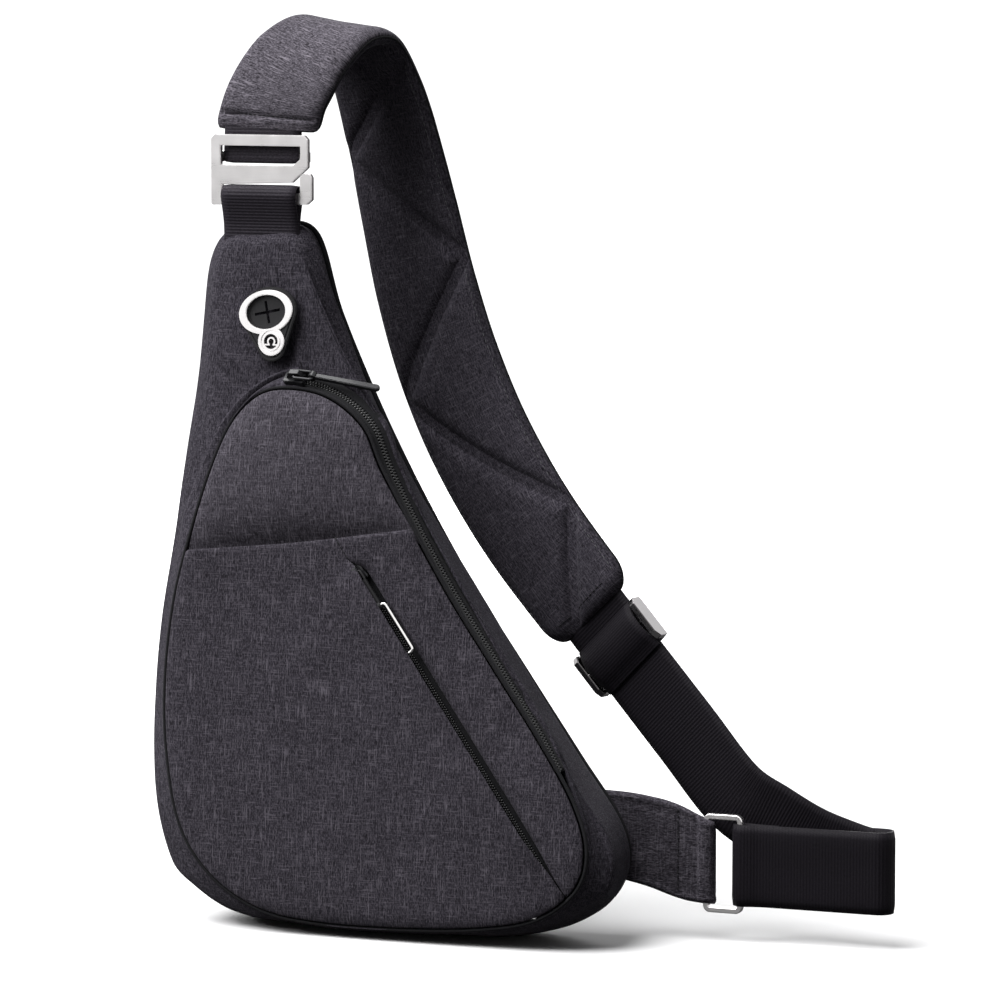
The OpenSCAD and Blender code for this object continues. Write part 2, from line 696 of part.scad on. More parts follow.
front_upper_panel();
front_pocket_panel();
front_corner_panel();
front_lining();
side_gusset();
front_piping();
back_binding();
back_panel();
back_foam();
back_lining();
inner_divider();
base_stiffener();
main_zip_front_tape();
main_zip_rear_tape();
main_zip_chain();
main_zip_slider();
main_pull_link();
main_zip_pull();
pocket_zip_tape();
pocket_zip_chain();
pocket_zip_slider();
pocket_pull_tape();
pocket_pull_wire();
earphone_port();
port_ring();
port_membrane();
neck_webbing();
hook_webbing_lower();
g_hook();
hook_cross_bar();
hook_webbing_upper();
pad_outer_cover();
pad_foam();
pad_inner_cover();
lower_webbing();
adjuster_frame();
adjuster_bar();
adjuster_webbing();
wing_root();
wing_tip();
rectangular_ring();
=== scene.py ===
import math

import bmesh
import bpy
import numpy as np
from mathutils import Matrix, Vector, noise
from mathutils.geometry import delaunay_2d_cdt


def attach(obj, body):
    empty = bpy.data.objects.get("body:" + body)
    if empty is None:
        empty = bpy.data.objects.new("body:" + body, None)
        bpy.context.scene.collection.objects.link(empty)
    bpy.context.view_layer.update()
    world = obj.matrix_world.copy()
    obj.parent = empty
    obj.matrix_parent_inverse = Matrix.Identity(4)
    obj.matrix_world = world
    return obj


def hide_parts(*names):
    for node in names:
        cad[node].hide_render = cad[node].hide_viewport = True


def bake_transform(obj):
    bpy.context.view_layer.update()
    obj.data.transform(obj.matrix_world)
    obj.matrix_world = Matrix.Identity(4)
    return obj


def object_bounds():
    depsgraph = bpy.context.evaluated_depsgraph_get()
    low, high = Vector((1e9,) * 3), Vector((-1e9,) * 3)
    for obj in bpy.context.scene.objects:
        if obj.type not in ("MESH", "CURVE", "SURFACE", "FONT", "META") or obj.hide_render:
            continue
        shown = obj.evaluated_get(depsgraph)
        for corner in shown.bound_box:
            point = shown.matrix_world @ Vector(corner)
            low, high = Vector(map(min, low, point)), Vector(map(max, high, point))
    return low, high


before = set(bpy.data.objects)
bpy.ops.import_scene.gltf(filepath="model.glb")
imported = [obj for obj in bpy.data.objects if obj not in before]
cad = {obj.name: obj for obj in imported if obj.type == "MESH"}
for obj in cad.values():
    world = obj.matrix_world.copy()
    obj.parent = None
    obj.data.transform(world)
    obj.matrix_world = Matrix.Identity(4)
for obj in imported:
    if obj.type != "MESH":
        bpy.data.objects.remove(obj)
cad_low, cad_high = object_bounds()
scene = bpy.context.scene
MM = 0.001

# ---------------------------------------------------------------- curve helpers (millimetres)


def unit(v):
    return v / np.linalg.norm(v, axis=-1, keepdims=True)


def catmull(a, b, c, d, t):
    return 0.5 * (2 * b + (c - a) * t + (2 * a - 5 * b + 4 * c - d) * t * t
                  + (3 * b - a - 3 * c + d) * t ** 3)


def closed_curve(rows, m):
    n = len(rows)
    return np.array([catmull(rows[i - 1], rows[i], rows[(i + 1) % n], rows[(i + 2) % n], j / m)
                     for i in range(n) for j in range(m)])


def open_curve(rows, m):
    rows = np.array(rows, float)
    last = len(rows) - 1
    pts = [catmull(rows[max(i - 1, 0)], rows[i], rows[i + 1], rows[min(i + 2, last)], j / m)
           for i in range(last) for j in range(m)]
    return np.array(pts + [rows[last]])


def lengths(pts):
    return np.r_[0, np.cumsum(np.linalg.norm(np.diff(pts, axis=0), axis=1))]


def resample(pts, step, closed=False, key=None):
    """The same curve with points about step apart, measured along its first columns."""
    pts = np.array(pts, float)
    if closed:
        pts = np.vstack([pts, pts[:1]])
    s = lengths(pts[:, :key] if key else pts)
    n = max(int(round(s[-1] / step)), 2)
    at = np.linspace(0, s[-1], n + 1)
    out = np.stack([np.interp(at, s, pts[:, k]) for k in range(pts.shape[1])], 1)
    return out[:-1] if closed else out


def outline_normals(p):
    t = unit(np.roll(p, -1, 0) - np.roll(p, 1, 0))
    return np.stack([t[:, 1], -t[:, 0]], 1)


def smooth(t):
    t = np.clip(t, 0, 1)
    return t * t * (3 - 2 * t)


def quarter(d, reach):
    """0 at an edge, 1 beyond reach, round like a rolled edge."""
    t = np.clip(d / reach, 0, 1)
    return np.sqrt(1 - (1 - t) ** 2)


def fall(d, reach):
    """1 at an edge and before it, falling off beyond."""
    return np.exp(-np.maximum(d, 0) / reach)


def groove(d, width):
    """1 on a line, round like a pressed channel, 0 away from it."""
    return np.exp(-(d / width) ** 2)


def at_length(at, s, table):
    return np.array([np.interp(at, s, table[:, k]) for k in range(3)])


def soft_interp(x, table, reach=5.0):
    """Height at x on a line of points whose corners are rounded off."""
    return sum(np.interp(x + d, table[:, 0], table[:, 1])
               for d in (-reach, -reach / 2, 0, reach / 2, reach)) / 5


def flat(p):
    return np.column_stack([p, np.zeros(len(p))])


def upright(p):
    return np.column_stack([p[:, 0], np.zeros(len(p)), p[:, 1]])


def wrinkle(p, size, seed):
    shift = Vector((seed * 7.3, seed * 3.1, seed * 5.7))
    return np.array([noise.noise(Vector(q) / size + shift) for q in p])


# ---------------------------------------------------------------- mesh helpers


def mesh_piece(name, verts, faces, material, cloth=None, closed=False):
    me = bpy.data.meshes.new(name)
    me.from_pydata((np.asarray(verts, float) * MM).tolist(), [], [list(map(int, f)) for f in faces])
    me.validate()
    if cloth is not None:
        a = me.attributes.new("cloth", "FLOAT_VECTOR", "POINT")
        a.data.foreach_set("vector", np.asarray(cloth, np.float32).ravel())
    if closed:
        bm = bmesh.new()
        bm.from_mesh(me)
        bmesh.ops.recalc_face_normals(bm, faces=bm.faces)
        bm.to_mesh(me)
        bm.free()
    me.polygons.foreach_set("use_smooth", [True] * len(me.polygons))
    me.materials.append(material)
    ob = bpy.data.objects.new(name, me)
    scene.collection.objects.link(ob)
    return ob


def belongs(ob, body, nodes=()):
    if body:
        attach(ob, body)
    if nodes:
        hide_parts(*nodes)
    return ob


def solidify(ob, thickness, offset=-1):
    m = ob.modifiers.new("thickness", "SOLIDIFY")
    m.thickness = thickness * MM
    m.offset = offset
    m.use_even_offset = False
    return ob


def grid_faces(rows, cols, wrap_rows=False, wrap_cols=False):
    out = []
    for i in range(rows if wrap_rows else rows - 1):
        a, b = i * cols, ((i + 1) % rows) * cols
        for j in range(cols if wrap_cols else cols - 1):
            k = (j + 1) % cols
            out.append((a + j, b + j, b + k, a + k))
    return out


def loft(name, rings, material, cloth=None, loop=False):
    """Closed skin over rings of points. Ends are capped unless the rings run in a loop."""
    k, n = len(rings), len(rings[0])
    faces = grid_faces(k, n, wrap_rows=loop, wrap_cols=True)
    if not loop:
        faces += [tuple(range(n)), tuple((k - 1) * n + i for i in range(n - 1, -1, -1))]
    return mesh_piece(name, np.concatenate(rings), faces, material, cloth, closed=True)


def tube(name, path, radius, material, sides):
    """Round cord along a closed path."""
    path = np.asarray(path, float)
    t = unit(np.roll(path, -1, 0) - np.roll(path, 1, 0))
    n = np.cross(t[0], [0.31, 0.87, 0.38])
    n /= np.linalg.norm(n)
    a = np.arange(sides) * 2 * math.pi / sides
    rings, marks = [], []
    s = lengths(path)
    for i in range(len(path)):
        n = n - t[i] * (n @ t[i])
        n /= np.linalg.norm(n)
        b = np.cross(t[i], n)
        rings.append(path[i] + radius * (np.cos(a)[:, None] * n + np.sin(a)[:, None] * b))
        marks.append(np.stack([a * radius, np.zeros(sides), np.full(sides, s[i])], 1))
    return loft(name, rings, material, np.concatenate(marks), loop=True)


def edge_distance(p, loop):
    """Distance from each point to a closed outline."""
    a, b = loop, np.roll(loop, -1, 0)
    best = np.full(len(p), 1e9)
    for k in range(0, len(a), 64):
        u, v = a[k:k + 64], b[k:k + 64]
        d = v - u
        t = ((p[:, None] - u) * d).sum(2) / np.maximum((d * d).sum(1), 1e-9)
        near = u + np.clip(t, 0, 1)[:, :, None] * d
        best = np.minimum(best, np.linalg.norm(p[:, None] - near, axis=2).min(1))
    return best


def is_inside(p, loop):
    x, y = p[:, 0][:, None], p[:, 1][:, None]
    a, b = loop, np.roll(loop, -1, 0)
    cross = ((a[:, 1] > y) != (b[:, 1] > y))
    at = (b[:, 0] - a[:, 0]) * (y - a[:, 1]) / (b[:, 1] - a[:, 1] + 1e-12) + a[:, 0]
    return (cross & (x < at)).sum(1) % 2 == 1


def fill_outline(loop, step=2.2, rims=(0.45, 1.1, 2.0, 3.3)):
    """Fine triangles over an outline, with rows that follow its edge. Gives points and faces."""
    loop = resample(loop, min(step, 2.0), closed=True)
    out = outline_normals(loop)
    groups = [loop]
    for d in rims:
        ring = loop - out * d
        keep = (edge_distance(ring, loop) > 0.93 * d) & is_inside(ring, loop)
        groups.append(ring[keep])
    low, high = loop.min(0), loop.max(0)
    gx = np.arange(low[0], high[0], step)
    gy = np.arange(low[1], high[1], step * 0.866)
    grid = np.array([[x + (step / 2 if k % 2 else 0), y] for k, y in enumerate(gy) for x in gx])
    grid = grid[is_inside(grid, loop)]
    grid = grid[edge_distance(grid, loop) > (rims[-1] if rims else 0) + 0.6 * step]
    groups.append(grid)
    pts = np.concatenate(groups)
    result = delaunay_2d_cdt([Vector(p) for p in pts], [], [list(range(len(loop)))], 1, 1e-6)
    verts = np.array([[v[0], v[1]] for v in result[0]])
    faces = []
    for f in result[2]:
        p = verts[list(f)]
        area = sum(p[i][0] * p[(i + 1) % 3][1] - p[(i + 1) % 3][0] * p[i][1] for i in range(3))
        faces.append(tuple(f) if area > 0 else tuple(reversed(f)))
    return verts, faces


def cut(loop, inside, border):
    """The part of an outline where inside is above 0, closed along border(from, to)."""
    v = np.array([inside(p) for p in loop])
    n = len(loop)
    first = next(i for i in range(n) if v[i - 1] <= 0 < v[i])
    order = [(first + k) % n for k in range(n)]
    kept = [i for i in order if v[i] > 0]
    last = kept[-1]
    after = (last + 1) % n

    def between(i, j):
        t = v[i] / (v[i] - v[j])
        return loop[i] + (loop[j] - loop[i]) * t

    enter, leave = between(first - 1, first), between(last, after)
    return np.vstack([[enter], loop[kept], [leave], border(leave, enter)])


def stitches(name, rows, material, body, pitch=3.0, length=2.1, radius=0.24, sides=6):
    """Short raised threads along each row. A row is its points and the directions off the cloth."""
    verts, faces = [], []
    profile = [(-0.5, 0.25), (-0.36, 0.8), (-0.12, 1.0), (0.12, 1.0), (0.36, 0.8), (0.5, 0.25)]
    for pts, ups in rows:
        pts, ups = np.asarray(pts, float), np.asarray(ups, float)
        s = lengths(pts)
        for at in np.arange(pitch / 2, s[-1], pitch):
            c, up = at_length(at, s, pts), at_length(at, s, ups)
            ahead, behind = at_length(at + 0.8, s, pts), at_length(at - 0.8, s, pts)
            t = unit(ahead - behind)
            up = unit(up - t * (up @ t))
            side = np.cross(t, up)
            base = len(verts)
            for share, wide in profile:
                for j in range(sides):
                    a = 2 * math.pi * j / sides
                    verts.append(c + t * share * length + radius * wide
                                 * (math.cos(a) * side + math.sin(a) * up))
            k = len(profile)
            faces += [tuple(base + q for q in f) for f in grid_faces(k, sides, wrap_cols=True)]
            faces.append(tuple(base + j for j in range(sides - 1, -1, -1)))
            faces.append(tuple(base + (k - 1) * sides + j for j in range(sides)))
    return belongs(mesh_piece(name, verts, faces, material, closed=True), body)


# ---------------------------------------------------------------- materials


class Nodes:
    """Short way to write a material's node tree."""

    def __init__(self, name):
        self.material = bpy.data.materials.new(name)
        self.material.use_nodes = True
        self.tree = self.material.node_tree
        self.shader = self.tree.nodes["Principled BSDF"]

    def add(self, kind, **values):
        node = self.tree.nodes.new("ShaderNode" + kind)
        for key, value in values.items():
            if hasattr(node, key):
                setattr(node, key, value)
            else:
                node.inputs[key.replace("_", " ")].default_value = value
        return node

    def link(self, a, b):
        self.tree.links.new(a, b)

    def coords(self, scale, turn=(0, 0, 0), attribute=True):
        """Cloth coordinates in millimetres, or the object's own, times scale."""
        if attribute:
            source = self.add("Attribute", attribute_name="cloth").outputs["Vector"]
            factor = 1.0
        else:
            source = self.add("TexCoord").outputs["Object"]
            factor = 1000.0
        m = self.add("Mapping")
        m.inputs["Rotation"].default_value = turn
        m.inputs["Scale"].default_value = [s * factor for s in scale]
        self.link(source, m.inputs["Vector"])
        return m.outputs["Vector"]

    def noise(self, vector, detail=2.0, rough=0.5):
        n = self.add("TexNoise")
        n.inputs["Scale"].default_value = 1.0
        n.inputs["Detail"].default_value = detail
        n.inputs["Roughness"].default_value = rough
        self.link(vector, n.inputs["Vector"])
        return n.outputs["Fac"]

    def ramp(self, value, *stops):
        r = self.add("ValToRGB")
        while len(r.color_ramp.elements) < len(stops):
            r.color_ramp.elements.new(0.5)
        for e, (at, grey) in zip(r.color_ramp.elements, stops):
            e.position = at
            e.color = (*grey, 1) if isinstance(grey, tuple) else (grey, grey, grey, 1)
        self.link(value, r.inputs["Fac"])
        return r.outputs["Color"]

    def speckle(self, scale, low, high, *noise_values, attribute=True):
        """Noise at a scale, through a ramp between two stops."""
        return self.ramp(self.noise(self.coords(scale, attribute=attribute), *noise_values), low, high)

    def mix(self, factor, a, b, blend="MIX"):
        m = self.add("Mix", data_type="RGBA", blend_type=blend)
        for value, socket in ((factor, m.inputs[0]), (a, m.inputs[6]), (b, m.inputs[7])):
            if isinstance(value, (int, float)):
                socket.default_value = value
            elif isinstance(value, tuple):
                socket.default_value = (*value, 1)
            else:
                self.link(value, socket)
        return m.outputs[2]

    def math(self, operation, a, b=0.0):
        m = self.add("Math", operation=operation)
        for value, socket in ((a, m.inputs[0]), (b, m.inputs[1])):
            if isinstance(value, (int, float)):
                socket.default_value = value
            else:
                self.link(value, socket)
        return m.outputs[0]

    def wave(self, vector, axis, profile="SIN"):
        w = self.add("TexWave", bands_direction=axis, wave_profile=profile)
        w.inputs["Scale"].default_value = 1.0
        w.inputs["Distortion"].default_value = 0.0
        self.link(vector, w.inputs["Vector"])
        return w.outputs["Fac"]

    def bump(self, height, strength, distance):
        b = self.add("Bump")
        b.inputs["Strength"].default_value = strength
        b.inputs["Distance"].default_value = distance * MM
        self.link(height, b.inputs["Height"])
        self.link(b.outputs["Normal"], self.shader.inputs["Normal"])

    def set(self, **values):
        for key, value in values.items():
            socket = self.shader.inputs[key.replace("_", " ")]
            if isinstance(value, (int, float)):
                socket.default_value = value
            elif isinstance(value, tuple):
                socket.default_value = (*value, 1) if len(value) == 3 else value
            else:
                self.link(value, socket)
        return self.material


def heather(name, dark, mid, light, slub=0.9, across=0.7, sheen=0.05):
    """Woven polyester in mixed greys: lighter slubs run along the cloth's third direction."""
    n = Nodes(name)
    dark, mid, light = ((1.05 * c[0], 0.97 * c[1], 1.10 * c[2]) for c in (dark, mid, light))
    grain = n.noise(n.coords((1.9, 1.9, 0.75)), 3.0, 0.65)
    base = n.ramp(grain, (0.37, dark), (0.50, mid), (0.67, tuple(0.45 * c + 0.55 * d
                                                                 for c, d in zip(mid, light))))
    long = n.speckle((1.6, 1.6, 0.10), (0.51, 0.0), (0.69, 1.0), 2.0, 0.55)
    cross = n.speckle((0.12, 0.5, 1.8), (0.55, 0.0), (0.73, 1.0), 2.0, 0.55)
    break_up = n.speckle((0.22, 0.22, 0.09), (0.38, 0.2), (0.62, 1.0), 2.0)
    streak = n.math("MULTIPLY", long, break_up)
    colour = n.mix(n.math("MULTIPLY", streak, slub), base, light)
    colour = n.mix(n.math("MULTIPLY", cross, across), colour, light)
    gaps = n.speckle((2.1, 2.1, 0.30), (0.34, 1.0), (0.46, 0.0), 1.0)
    colour = n.mix(n.math("MULTIPLY", gaps, 0.75), colour, tuple(0.4 * c for c in dark))
    patch = n.speckle((0.03, 0.03, 0.03), (0.3, 0.82), (0.7, 1.0), 3.0)
    colour = n.mix(1.0, colour, patch, "MULTIPLY")
    warp = n.wave(n.coords((0.62, 0, 0)), "X")
    weft = n.wave(n.coords((0, 0, 0.62)), "Z")
    weave = n.math("MULTIPLY", warp, weft)
    height = n.math("ADD", n.math("MULTIPLY", weave, 0.5),
                    n.math("ADD", n.math("MULTIPLY", grain, 0.9), n.math("MULTIPLY", long, 0.45)))
    n.bump(height, 0.55, 0.22)
    rough = n.ramp(grain, (0.2, 0.92), (0.8, 0.74))
    return n.set(Base_Color=colour, Roughness=rough, Sheen_Weight=sheen, Sheen_Roughness=0.5,
                 Sheen_Tint=(0.75, 0.75, 0.8), Specular_IOR_Level=0.03)


def webbing_cloth(name, dark, light):
    """Nylon webbing: fine ribs lie across the strap, and the yarn between them glints a little."""
    n = Nodes(name)
    yarn = n.noise(n.coords((0.9, 0.9, 2.6)), 2.0, 0.6)
    twill = n.wave(n.coords((0.75, 0, 0.35)), "DIAGONAL")
    colour = n.ramp(yarn, (0.25, dark), (0.8, light))
    wear = n.speckle((0.05, 0.05, 0.03), (0.35, 0.85), (0.7, 1.0), 3.0)
    colour = n.mix(1.0, colour, wear, "MULTIPLY")
    n.bump(n.math("ADD", n.math("MULTIPLY", twill, 0.6), yarn), 0.5, 0.12)
    rough = n.ramp(yarn, (0.2, 0.62), (0.8, 0.46))
    return n.set(Base_Color=colour, Roughness=rough, Sheen_Weight=0.02, Sheen_Roughness=0.4,
                 Specular_IOR_Level=0.07)


def plain_cloth(name, dark, light, pitch=0.7, rough=0.85, sheen=0.03):
    n = Nodes(name)
    yarn = n.noise(n.coords((1.3, 1.3, 1.3)), 3.0, 0.6)
    warp = n.wave(n.coords((pitch, 0, 0)), "X")
    weft = n.wave(n.coords((0, 0, pitch)), "Z")
    weave = n.math("ADD", n.math("MULTIPLY", n.math("MULTIPLY", warp, weft), 0.7), yarn)
    n.bump(weave, 0.4, 0.2)
    return n.set(Base_Color=n.ramp(yarn, (0.25, dark), (0.8, light)),
                 Roughness=n.ramp(yarn, (0.2, rough), (0.8, rough - 0.14)),
                 Sheen_Weight=sheen, Specular_IOR_Level=0.08)


def air_mesh(name, dark, light):
    """Knitted spacer mesh: small round holes in staggered rows."""
    n = Nodes(name)
    cells = n.add("TexVoronoi", feature="F1")
    cells.inputs["Scale"].default_value = 1.0
    cells.inputs["Randomness"].default_value = 0.12
    n.link(n.coords((0.42, 0.0, 0.55)), cells.inputs["Vector"])
    hole = n.ramp(cells.outputs["Distance"], (0.16, 0.0), (0.36, 1.0))
    yarn = n.noise(n.coords((1.6, 1.6, 1.6)), 2.0, 0.6)
    colour = n.mix(hole, tuple(0.25 * c for c in dark), n.ramp(yarn, (0.3, dark), (0.75, light)))
    n.bump(n.math("ADD", hole, n.math("MULTIPLY", yarn, 0.35)), 0.9, 0.5)
    return n.set(Base_Color=colour, Roughness=0.88, Sheen_Weight=0.04, Specular_IOR_Level=0.06)


def metal(name, colour, rough, brushed=(0.05, 4.0, 4.0), strength=0.08):
    n = Nodes(name)
    lines = n.noise(n.coords(brushed, attribute=False), 3.0, 0.6)
    cloud = n.noise(n.coords((0.12, 0.12, 0.12), attribute=False), 3.0)
    tone = n.mix(1.0, n.ramp(lines, (0.2, tuple(0.93 * c for c in colour)), (0.8, colour)),
                 n.ramp(cloud, (0.3, 0.94), (0.7, 1.0)), "MULTIPLY")
    n.bump(lines, strength, 0.05)
    shine = n.math("ADD", n.math("MULTIPLY", lines, 0.10), n.math("MULTIPLY", cloud, 0.08))
    return n.set(Base_Color=tone, Metallic=1.0, Roughness=n.math("ADD", shine, rough - 0.09))


def coated(name, colour, rough, grain=2.2, bump=0.25, coat=0.0, metallic=0.0):
    """Moulded plastic, rubber or painted metal with a fine grain."""
    n = Nodes(name)
    fine = n.noise(n.coords((grain,) * 3, attribute=False), 3.0, 0.6)
    worn = n.noise(n.coords((0.09,) * 3, attribute=False), 4.0)
    tone = n.mix(1.0, n.ramp(fine, (0.25, tuple(0.8 * c for c in colour)), (0.75, colour)),
                 n.ramp(worn, (0.3, 0.85), (0.7, 1.0)), "MULTIPLY")
    n.bump(fine, bump, 0.08)
    shine = n.math("ADD", n.math("MULTIPLY", fine, 0.12), n.math("MULTIPLY", worn, 0.14))
    return n.set(Base_Color=tone, Roughness=n.math("ADD", shine, rough - 0.13),
                 Coat_Weight=coat, Metallic=metallic, Specular_IOR_Level=0.3)


def foam_material(name):
    n = Nodes(name)
    cells = n.add("TexVoronoi", feature="F1")
    cells.inputs["Scale"].default_value = 1.0
    n.link(n.coords((1.4, 1.4, 1.4), attribute=False), cells.inputs["Vector"])
    n.bump(cells.outputs["Distance"], 0.6, 0.3)
    return n.set(Base_Color=n.ramp(cells.outputs["Distance"], (0.1, (0.05, 0.05, 0.055)),
                                   (0.6, (0.11, 0.11, 0.12))), Roughness=0.95)


FRONT = heather("heather_front", (0.0185, 0.018, 0.0205), (0.0375, 0.0365, 0.041),
                (0.150, 0.148, 0.155))
# Lit copy of the same heather: its lighter colours are painted light, for the top light on the upper
# front panel and to lift the body's shadow off the wing
HEATHER_PAINTED_LIT = heather("heather_painted_lit", (0.027, 0.026, 0.029), (0.056, 0.055, 0.060),
                (0.185, 0.183, 0.190))
SHELL = heather("heather_shell", (0.021, 0.0205, 0.0235), (0.040, 0.039, 0.044),
                (0.125, 0.124, 0.131), slub=0.6)
# Lit copy of the pad heather: its lighter colours paint the top light on the pad's outer cover
PAD_OUT_PAINTED_LIT = heather("heather_pad_outer_painted_lit", (0.033, 0.032, 0.035), (0.084, 0.083, 0.088),
                  (0.275, 0.272, 0.280), slub=0.9, across=0.2)
PAD_IN = heather("heather_pad_inner", (0.020, 0.0195, 0.0225), (0.039, 0.038, 0.043),
                 (0.135, 0.134, 0.141), slub=0.65, across=0.7)
WEB = webbing_cloth("nylon_webbing", (0.0050, 0.0043, 0.0060), (0.0175, 0.0150, 0.0195))
# Lit copy of the webbing: its lighter colours paint the front light on the loops at the hook
WEB_PAINTED_LIT = webbing_cloth("nylon_webbing_painted_lit", (0.0100, 0.0088, 0.0116), (0.050, 0.0435, 0.0550))
BINDING = plain_cloth("binding_tape", (0.008, 0.008, 0.009), (0.021, 0.0205, 0.023), 1.1)
ZIP_TAPE = plain_cloth("zip_tape", (0.006, 0.006, 0.007), (0.016, 0.016, 0.018), 1.4, 0.8, 0.1)
LINING = plain_cloth("lining_cloth", (0.016, 0.016, 0.019), (0.035, 0.035, 0.040), 0.9, 0.6)
MESH = air_mesh("spacer_mesh", (0.030, 0.0292, 0.032), (0.085, 0.083, 0.090))
THREAD = plain_cloth("sewing_thread", (0.010, 0.010, 0.011), (0.030, 0.030, 0.033), 2.0, 0.7)
THREAD_LIGHT = plain_cloth("sewing_thread_grey", (0.07, 0.07, 0.075), (0.15, 0.15, 0.16), 2.0, 0.7)
NICKEL = metal("satin_nickel", (0.86, 0.84, 0.84), 0.30)
NICKEL_WIRE = metal("polished_nickel", (0.80, 0.79, 0.78), 0.17, (1.2, 1.2, 1.2), 0.03)
# Chrome with its colour darkened: painted dark reflection of the surroundings on the adjuster
CHROME_PAINTED_DARK = metal("chrome_painted_dark_reflection", (0.36, 0.35, 0.355), 0.16, (1.2, 1.2, 1.2), 0.03)
BLACK_METAL = coated("black_enamel", (0.018, 0.018, 0.020), 0.42, 1.5, 0.12, 0.3, 0.55)
RUBBER = coated("black_rubber", (0.0085, 0.008, 0.0095), 0.66, 3.2, 0.4)
TEETH = coated("zip_teeth", (0.012, 0.012, 0.013), 0.38, 3.0, 0.1, 0.15)
BOARD = coated("stiffening_board", (0.030, 0.030, 0.032), 0.7, 1.2, 0.5)
FOAM = foam_material("open_foam")

# ---------------------------------------------------------------- body outlines, as in the CAD

FRONT_Y, TILT = -27.0, math.radians(5.6)
ARCH = (-52.0, 206.0, 47.0)
BELLY_BACK, BACK_Y = 20.0, 25.0


def on_arch(degrees):
    a = math.radians(degrees)
    return [ARCH[0] + ARCH[2] * math.cos(a), ARCH[1] + ARCH[2] * math.sin(a)]


# Each row: front seam x, w; belly x, z; back seam x, z; zip band outward, zip band deep
body_rows = np.array([
    on_arch(90) + [-76, 326, -76, 325, 7, 7],
    [-69, 250, -92.5, 324, -91.5, 323, 2, 1],
    [-83, 236, -102, 311, -99.5, 310, 0.8, 0],
    [-93, 213, -106.4, 283, -103.5, 282, 0.8, 0],
    [-102, 183, -110.2, 238, -107, 237, 0.8, 0],
    [-109, 152, -114.4, 190, -110.5, 189, 0.8, 0],
    [-112, 116, -121, 140, -116, 140, 0.8, 0],
    [-110, 82, -122.8, 86, -117, 86, 0.8, 0],
    [-102, 48, -117.4, 46, -111, 47, 0.8, 0],
    [-85, 25, -101.5, 15, -95.5, 18, 0.8, 0],
    [-60, 11, -73, 1, -68.5, 6, 0.8, 0],
    [-30, 6.5, -35, 0, -35, 3.5, 0.8, 0],
    [10, 6.5, 10, 0, 10, 3.5, 0.8, 0],
    [48, 9, 50, 0, 50, 3.5, 0.8, 0],
    [77, 15, 78, 5.5, 74, 9, 0.8, 0],
    [96, 29, 100.5, 17.5, 94, 21, 0.8, 0],
    [101, 47, 111, 34, 103, 36, 0.8, 0],
    [94, 69, 107, 54, 98.5, 55, 1, 2],
    [76, 97, 87, 82, 79.5, 82, 2.5, 9],
    [54, 127, 61, 120, 53.5, 119, 3, 11],
    [30, 160, 34, 160, 26.5, 158, 3, 11],
    [10, 191, 8, 200, 1.5, 199, 3, 11],
    on_arch(14) + [-15, 241, -20.5, 240, 6, 8],
    on_arch(40) + [-36, 286, -41, 285, 7, 7],
    on_arch(66) + [-51.5, 323.5, -54, 323, 7, 7],
], float)
PER_ROW = 14
body = closed_curve(body_rows, PER_ROW)
COUNT = len(body)
front_2d, belly_2d, back_2d = body[:, 0:2], body[:, 2:4].copy(), body[:, 4:6]
belly_2d[:, 1] = np.maximum(belly_2d[:, 1], 0)
zip_out, zip_deep = body[:, 6], body[:, 7]
front_out, belly_out, back_out = map(outline_normals, (front_2d, belly_2d, back_2d))


def front_point(p, n):
    """Point on the leaning front plane at p, n millimetres in front of it."""
    p = np.asarray(p, float)
    n = np.broadcast_to(np.asarray(n, float), p.shape[:-1])
    return np.stack([p[..., 0], FRONT_Y + p[..., 1] * math.sin(TILT) - n * math.cos(TILT),
                     p[..., 1] * math.cos(TILT) + n * math.sin(TILT)], -1)


FRONT_N = np.array([0, -math.cos(TILT), math.sin(TILT)])


def zip_share(share, lift=0.0):
    return front_point(front_2d + front_out * (zip_out * share + lift)[:, None],
                       lift - zip_deep * share)


def belly_front_y(z):
    return -20 + 28 * np.minimum(z / 260, 1)


# ---------------------------------------------------------------- gusset shell


def bend_corners(corners, radii, counts, first):
    """Rows of points along a path of corners, each rounded. corners is a list of point arrays,
    and first gives the shares of the first straight part for each of its rows."""
    rows, at = [], corners[0]
    for k in range(1, len(corners) - 1):
        p, before, after = corners[k], corners[k - 1], corners[k + 1]
        reach = np.minimum(radii[k - 1], 0.45 * np.minimum(
            np.linalg.norm(p - before, axis=1), np.linalg.norm(after - p, axis=1)))[:, None]
        a, b = p + unit(before - p) * reach, p + unit(after - p) * reach
        straight = first if k == 1 else np.linspace(0, 1, counts[2 * k - 3], endpoint=False)
        for t in straight:
            rows.append(at + (a - at) * (t[:, None] if np.ndim(t) else t))
        for t in np.linspace(0, 1, counts[2 * k - 2], endpoint=False):
            rows.append(a * (1 - t) ** 2 + 2 * p * t * (1 - t) + b * t * t)
        at = b
    for t in np.linspace(0, 1, counts[-1]):
        rows.append(at + (corners[-1] - at) * t)
    return np.array(rows)


REAR_IN = 3.7
seam = zip_share(1.0)
underside = smooth((-belly_out[:, 1] - 0.45) / 0.4)
at_neck = smooth((belly_2d[:, 1] - 200) / 80)
by_zip = np.interp(np.arange(COUNT) / PER_ROW, [17, 17.6, 22, 22.8], [0, 1, 1, 0])
inset = (2.4 + 3.6 * at_neck + 2.6 * underside) * (1 - 0.85 * by_zip)
edge_y = belly_front_y(belly_2d[:, 1])
eased = belly_2d - belly_out * inset[:, None]
belly_front = np.stack([eased[:, 0], edge_y, eased[:, 1]], 1)
belly_mid = np.stack([belly_2d[:, 0], edge_y + 1.3 * inset + 19 * underside, belly_2d[:, 1]], 1)
belly_rear = np.stack([belly_2d[:, 0] - REAR_IN * np.maximum(belly_out[:, 0], 0),
                       np.full(COUNT, BELLY_BACK), belly_2d[:, 1]], 1)
back_seam = np.stack([back_2d[:, 0], np.full(COUNT, BACK_Y), back_2d[:, 1]], 1)
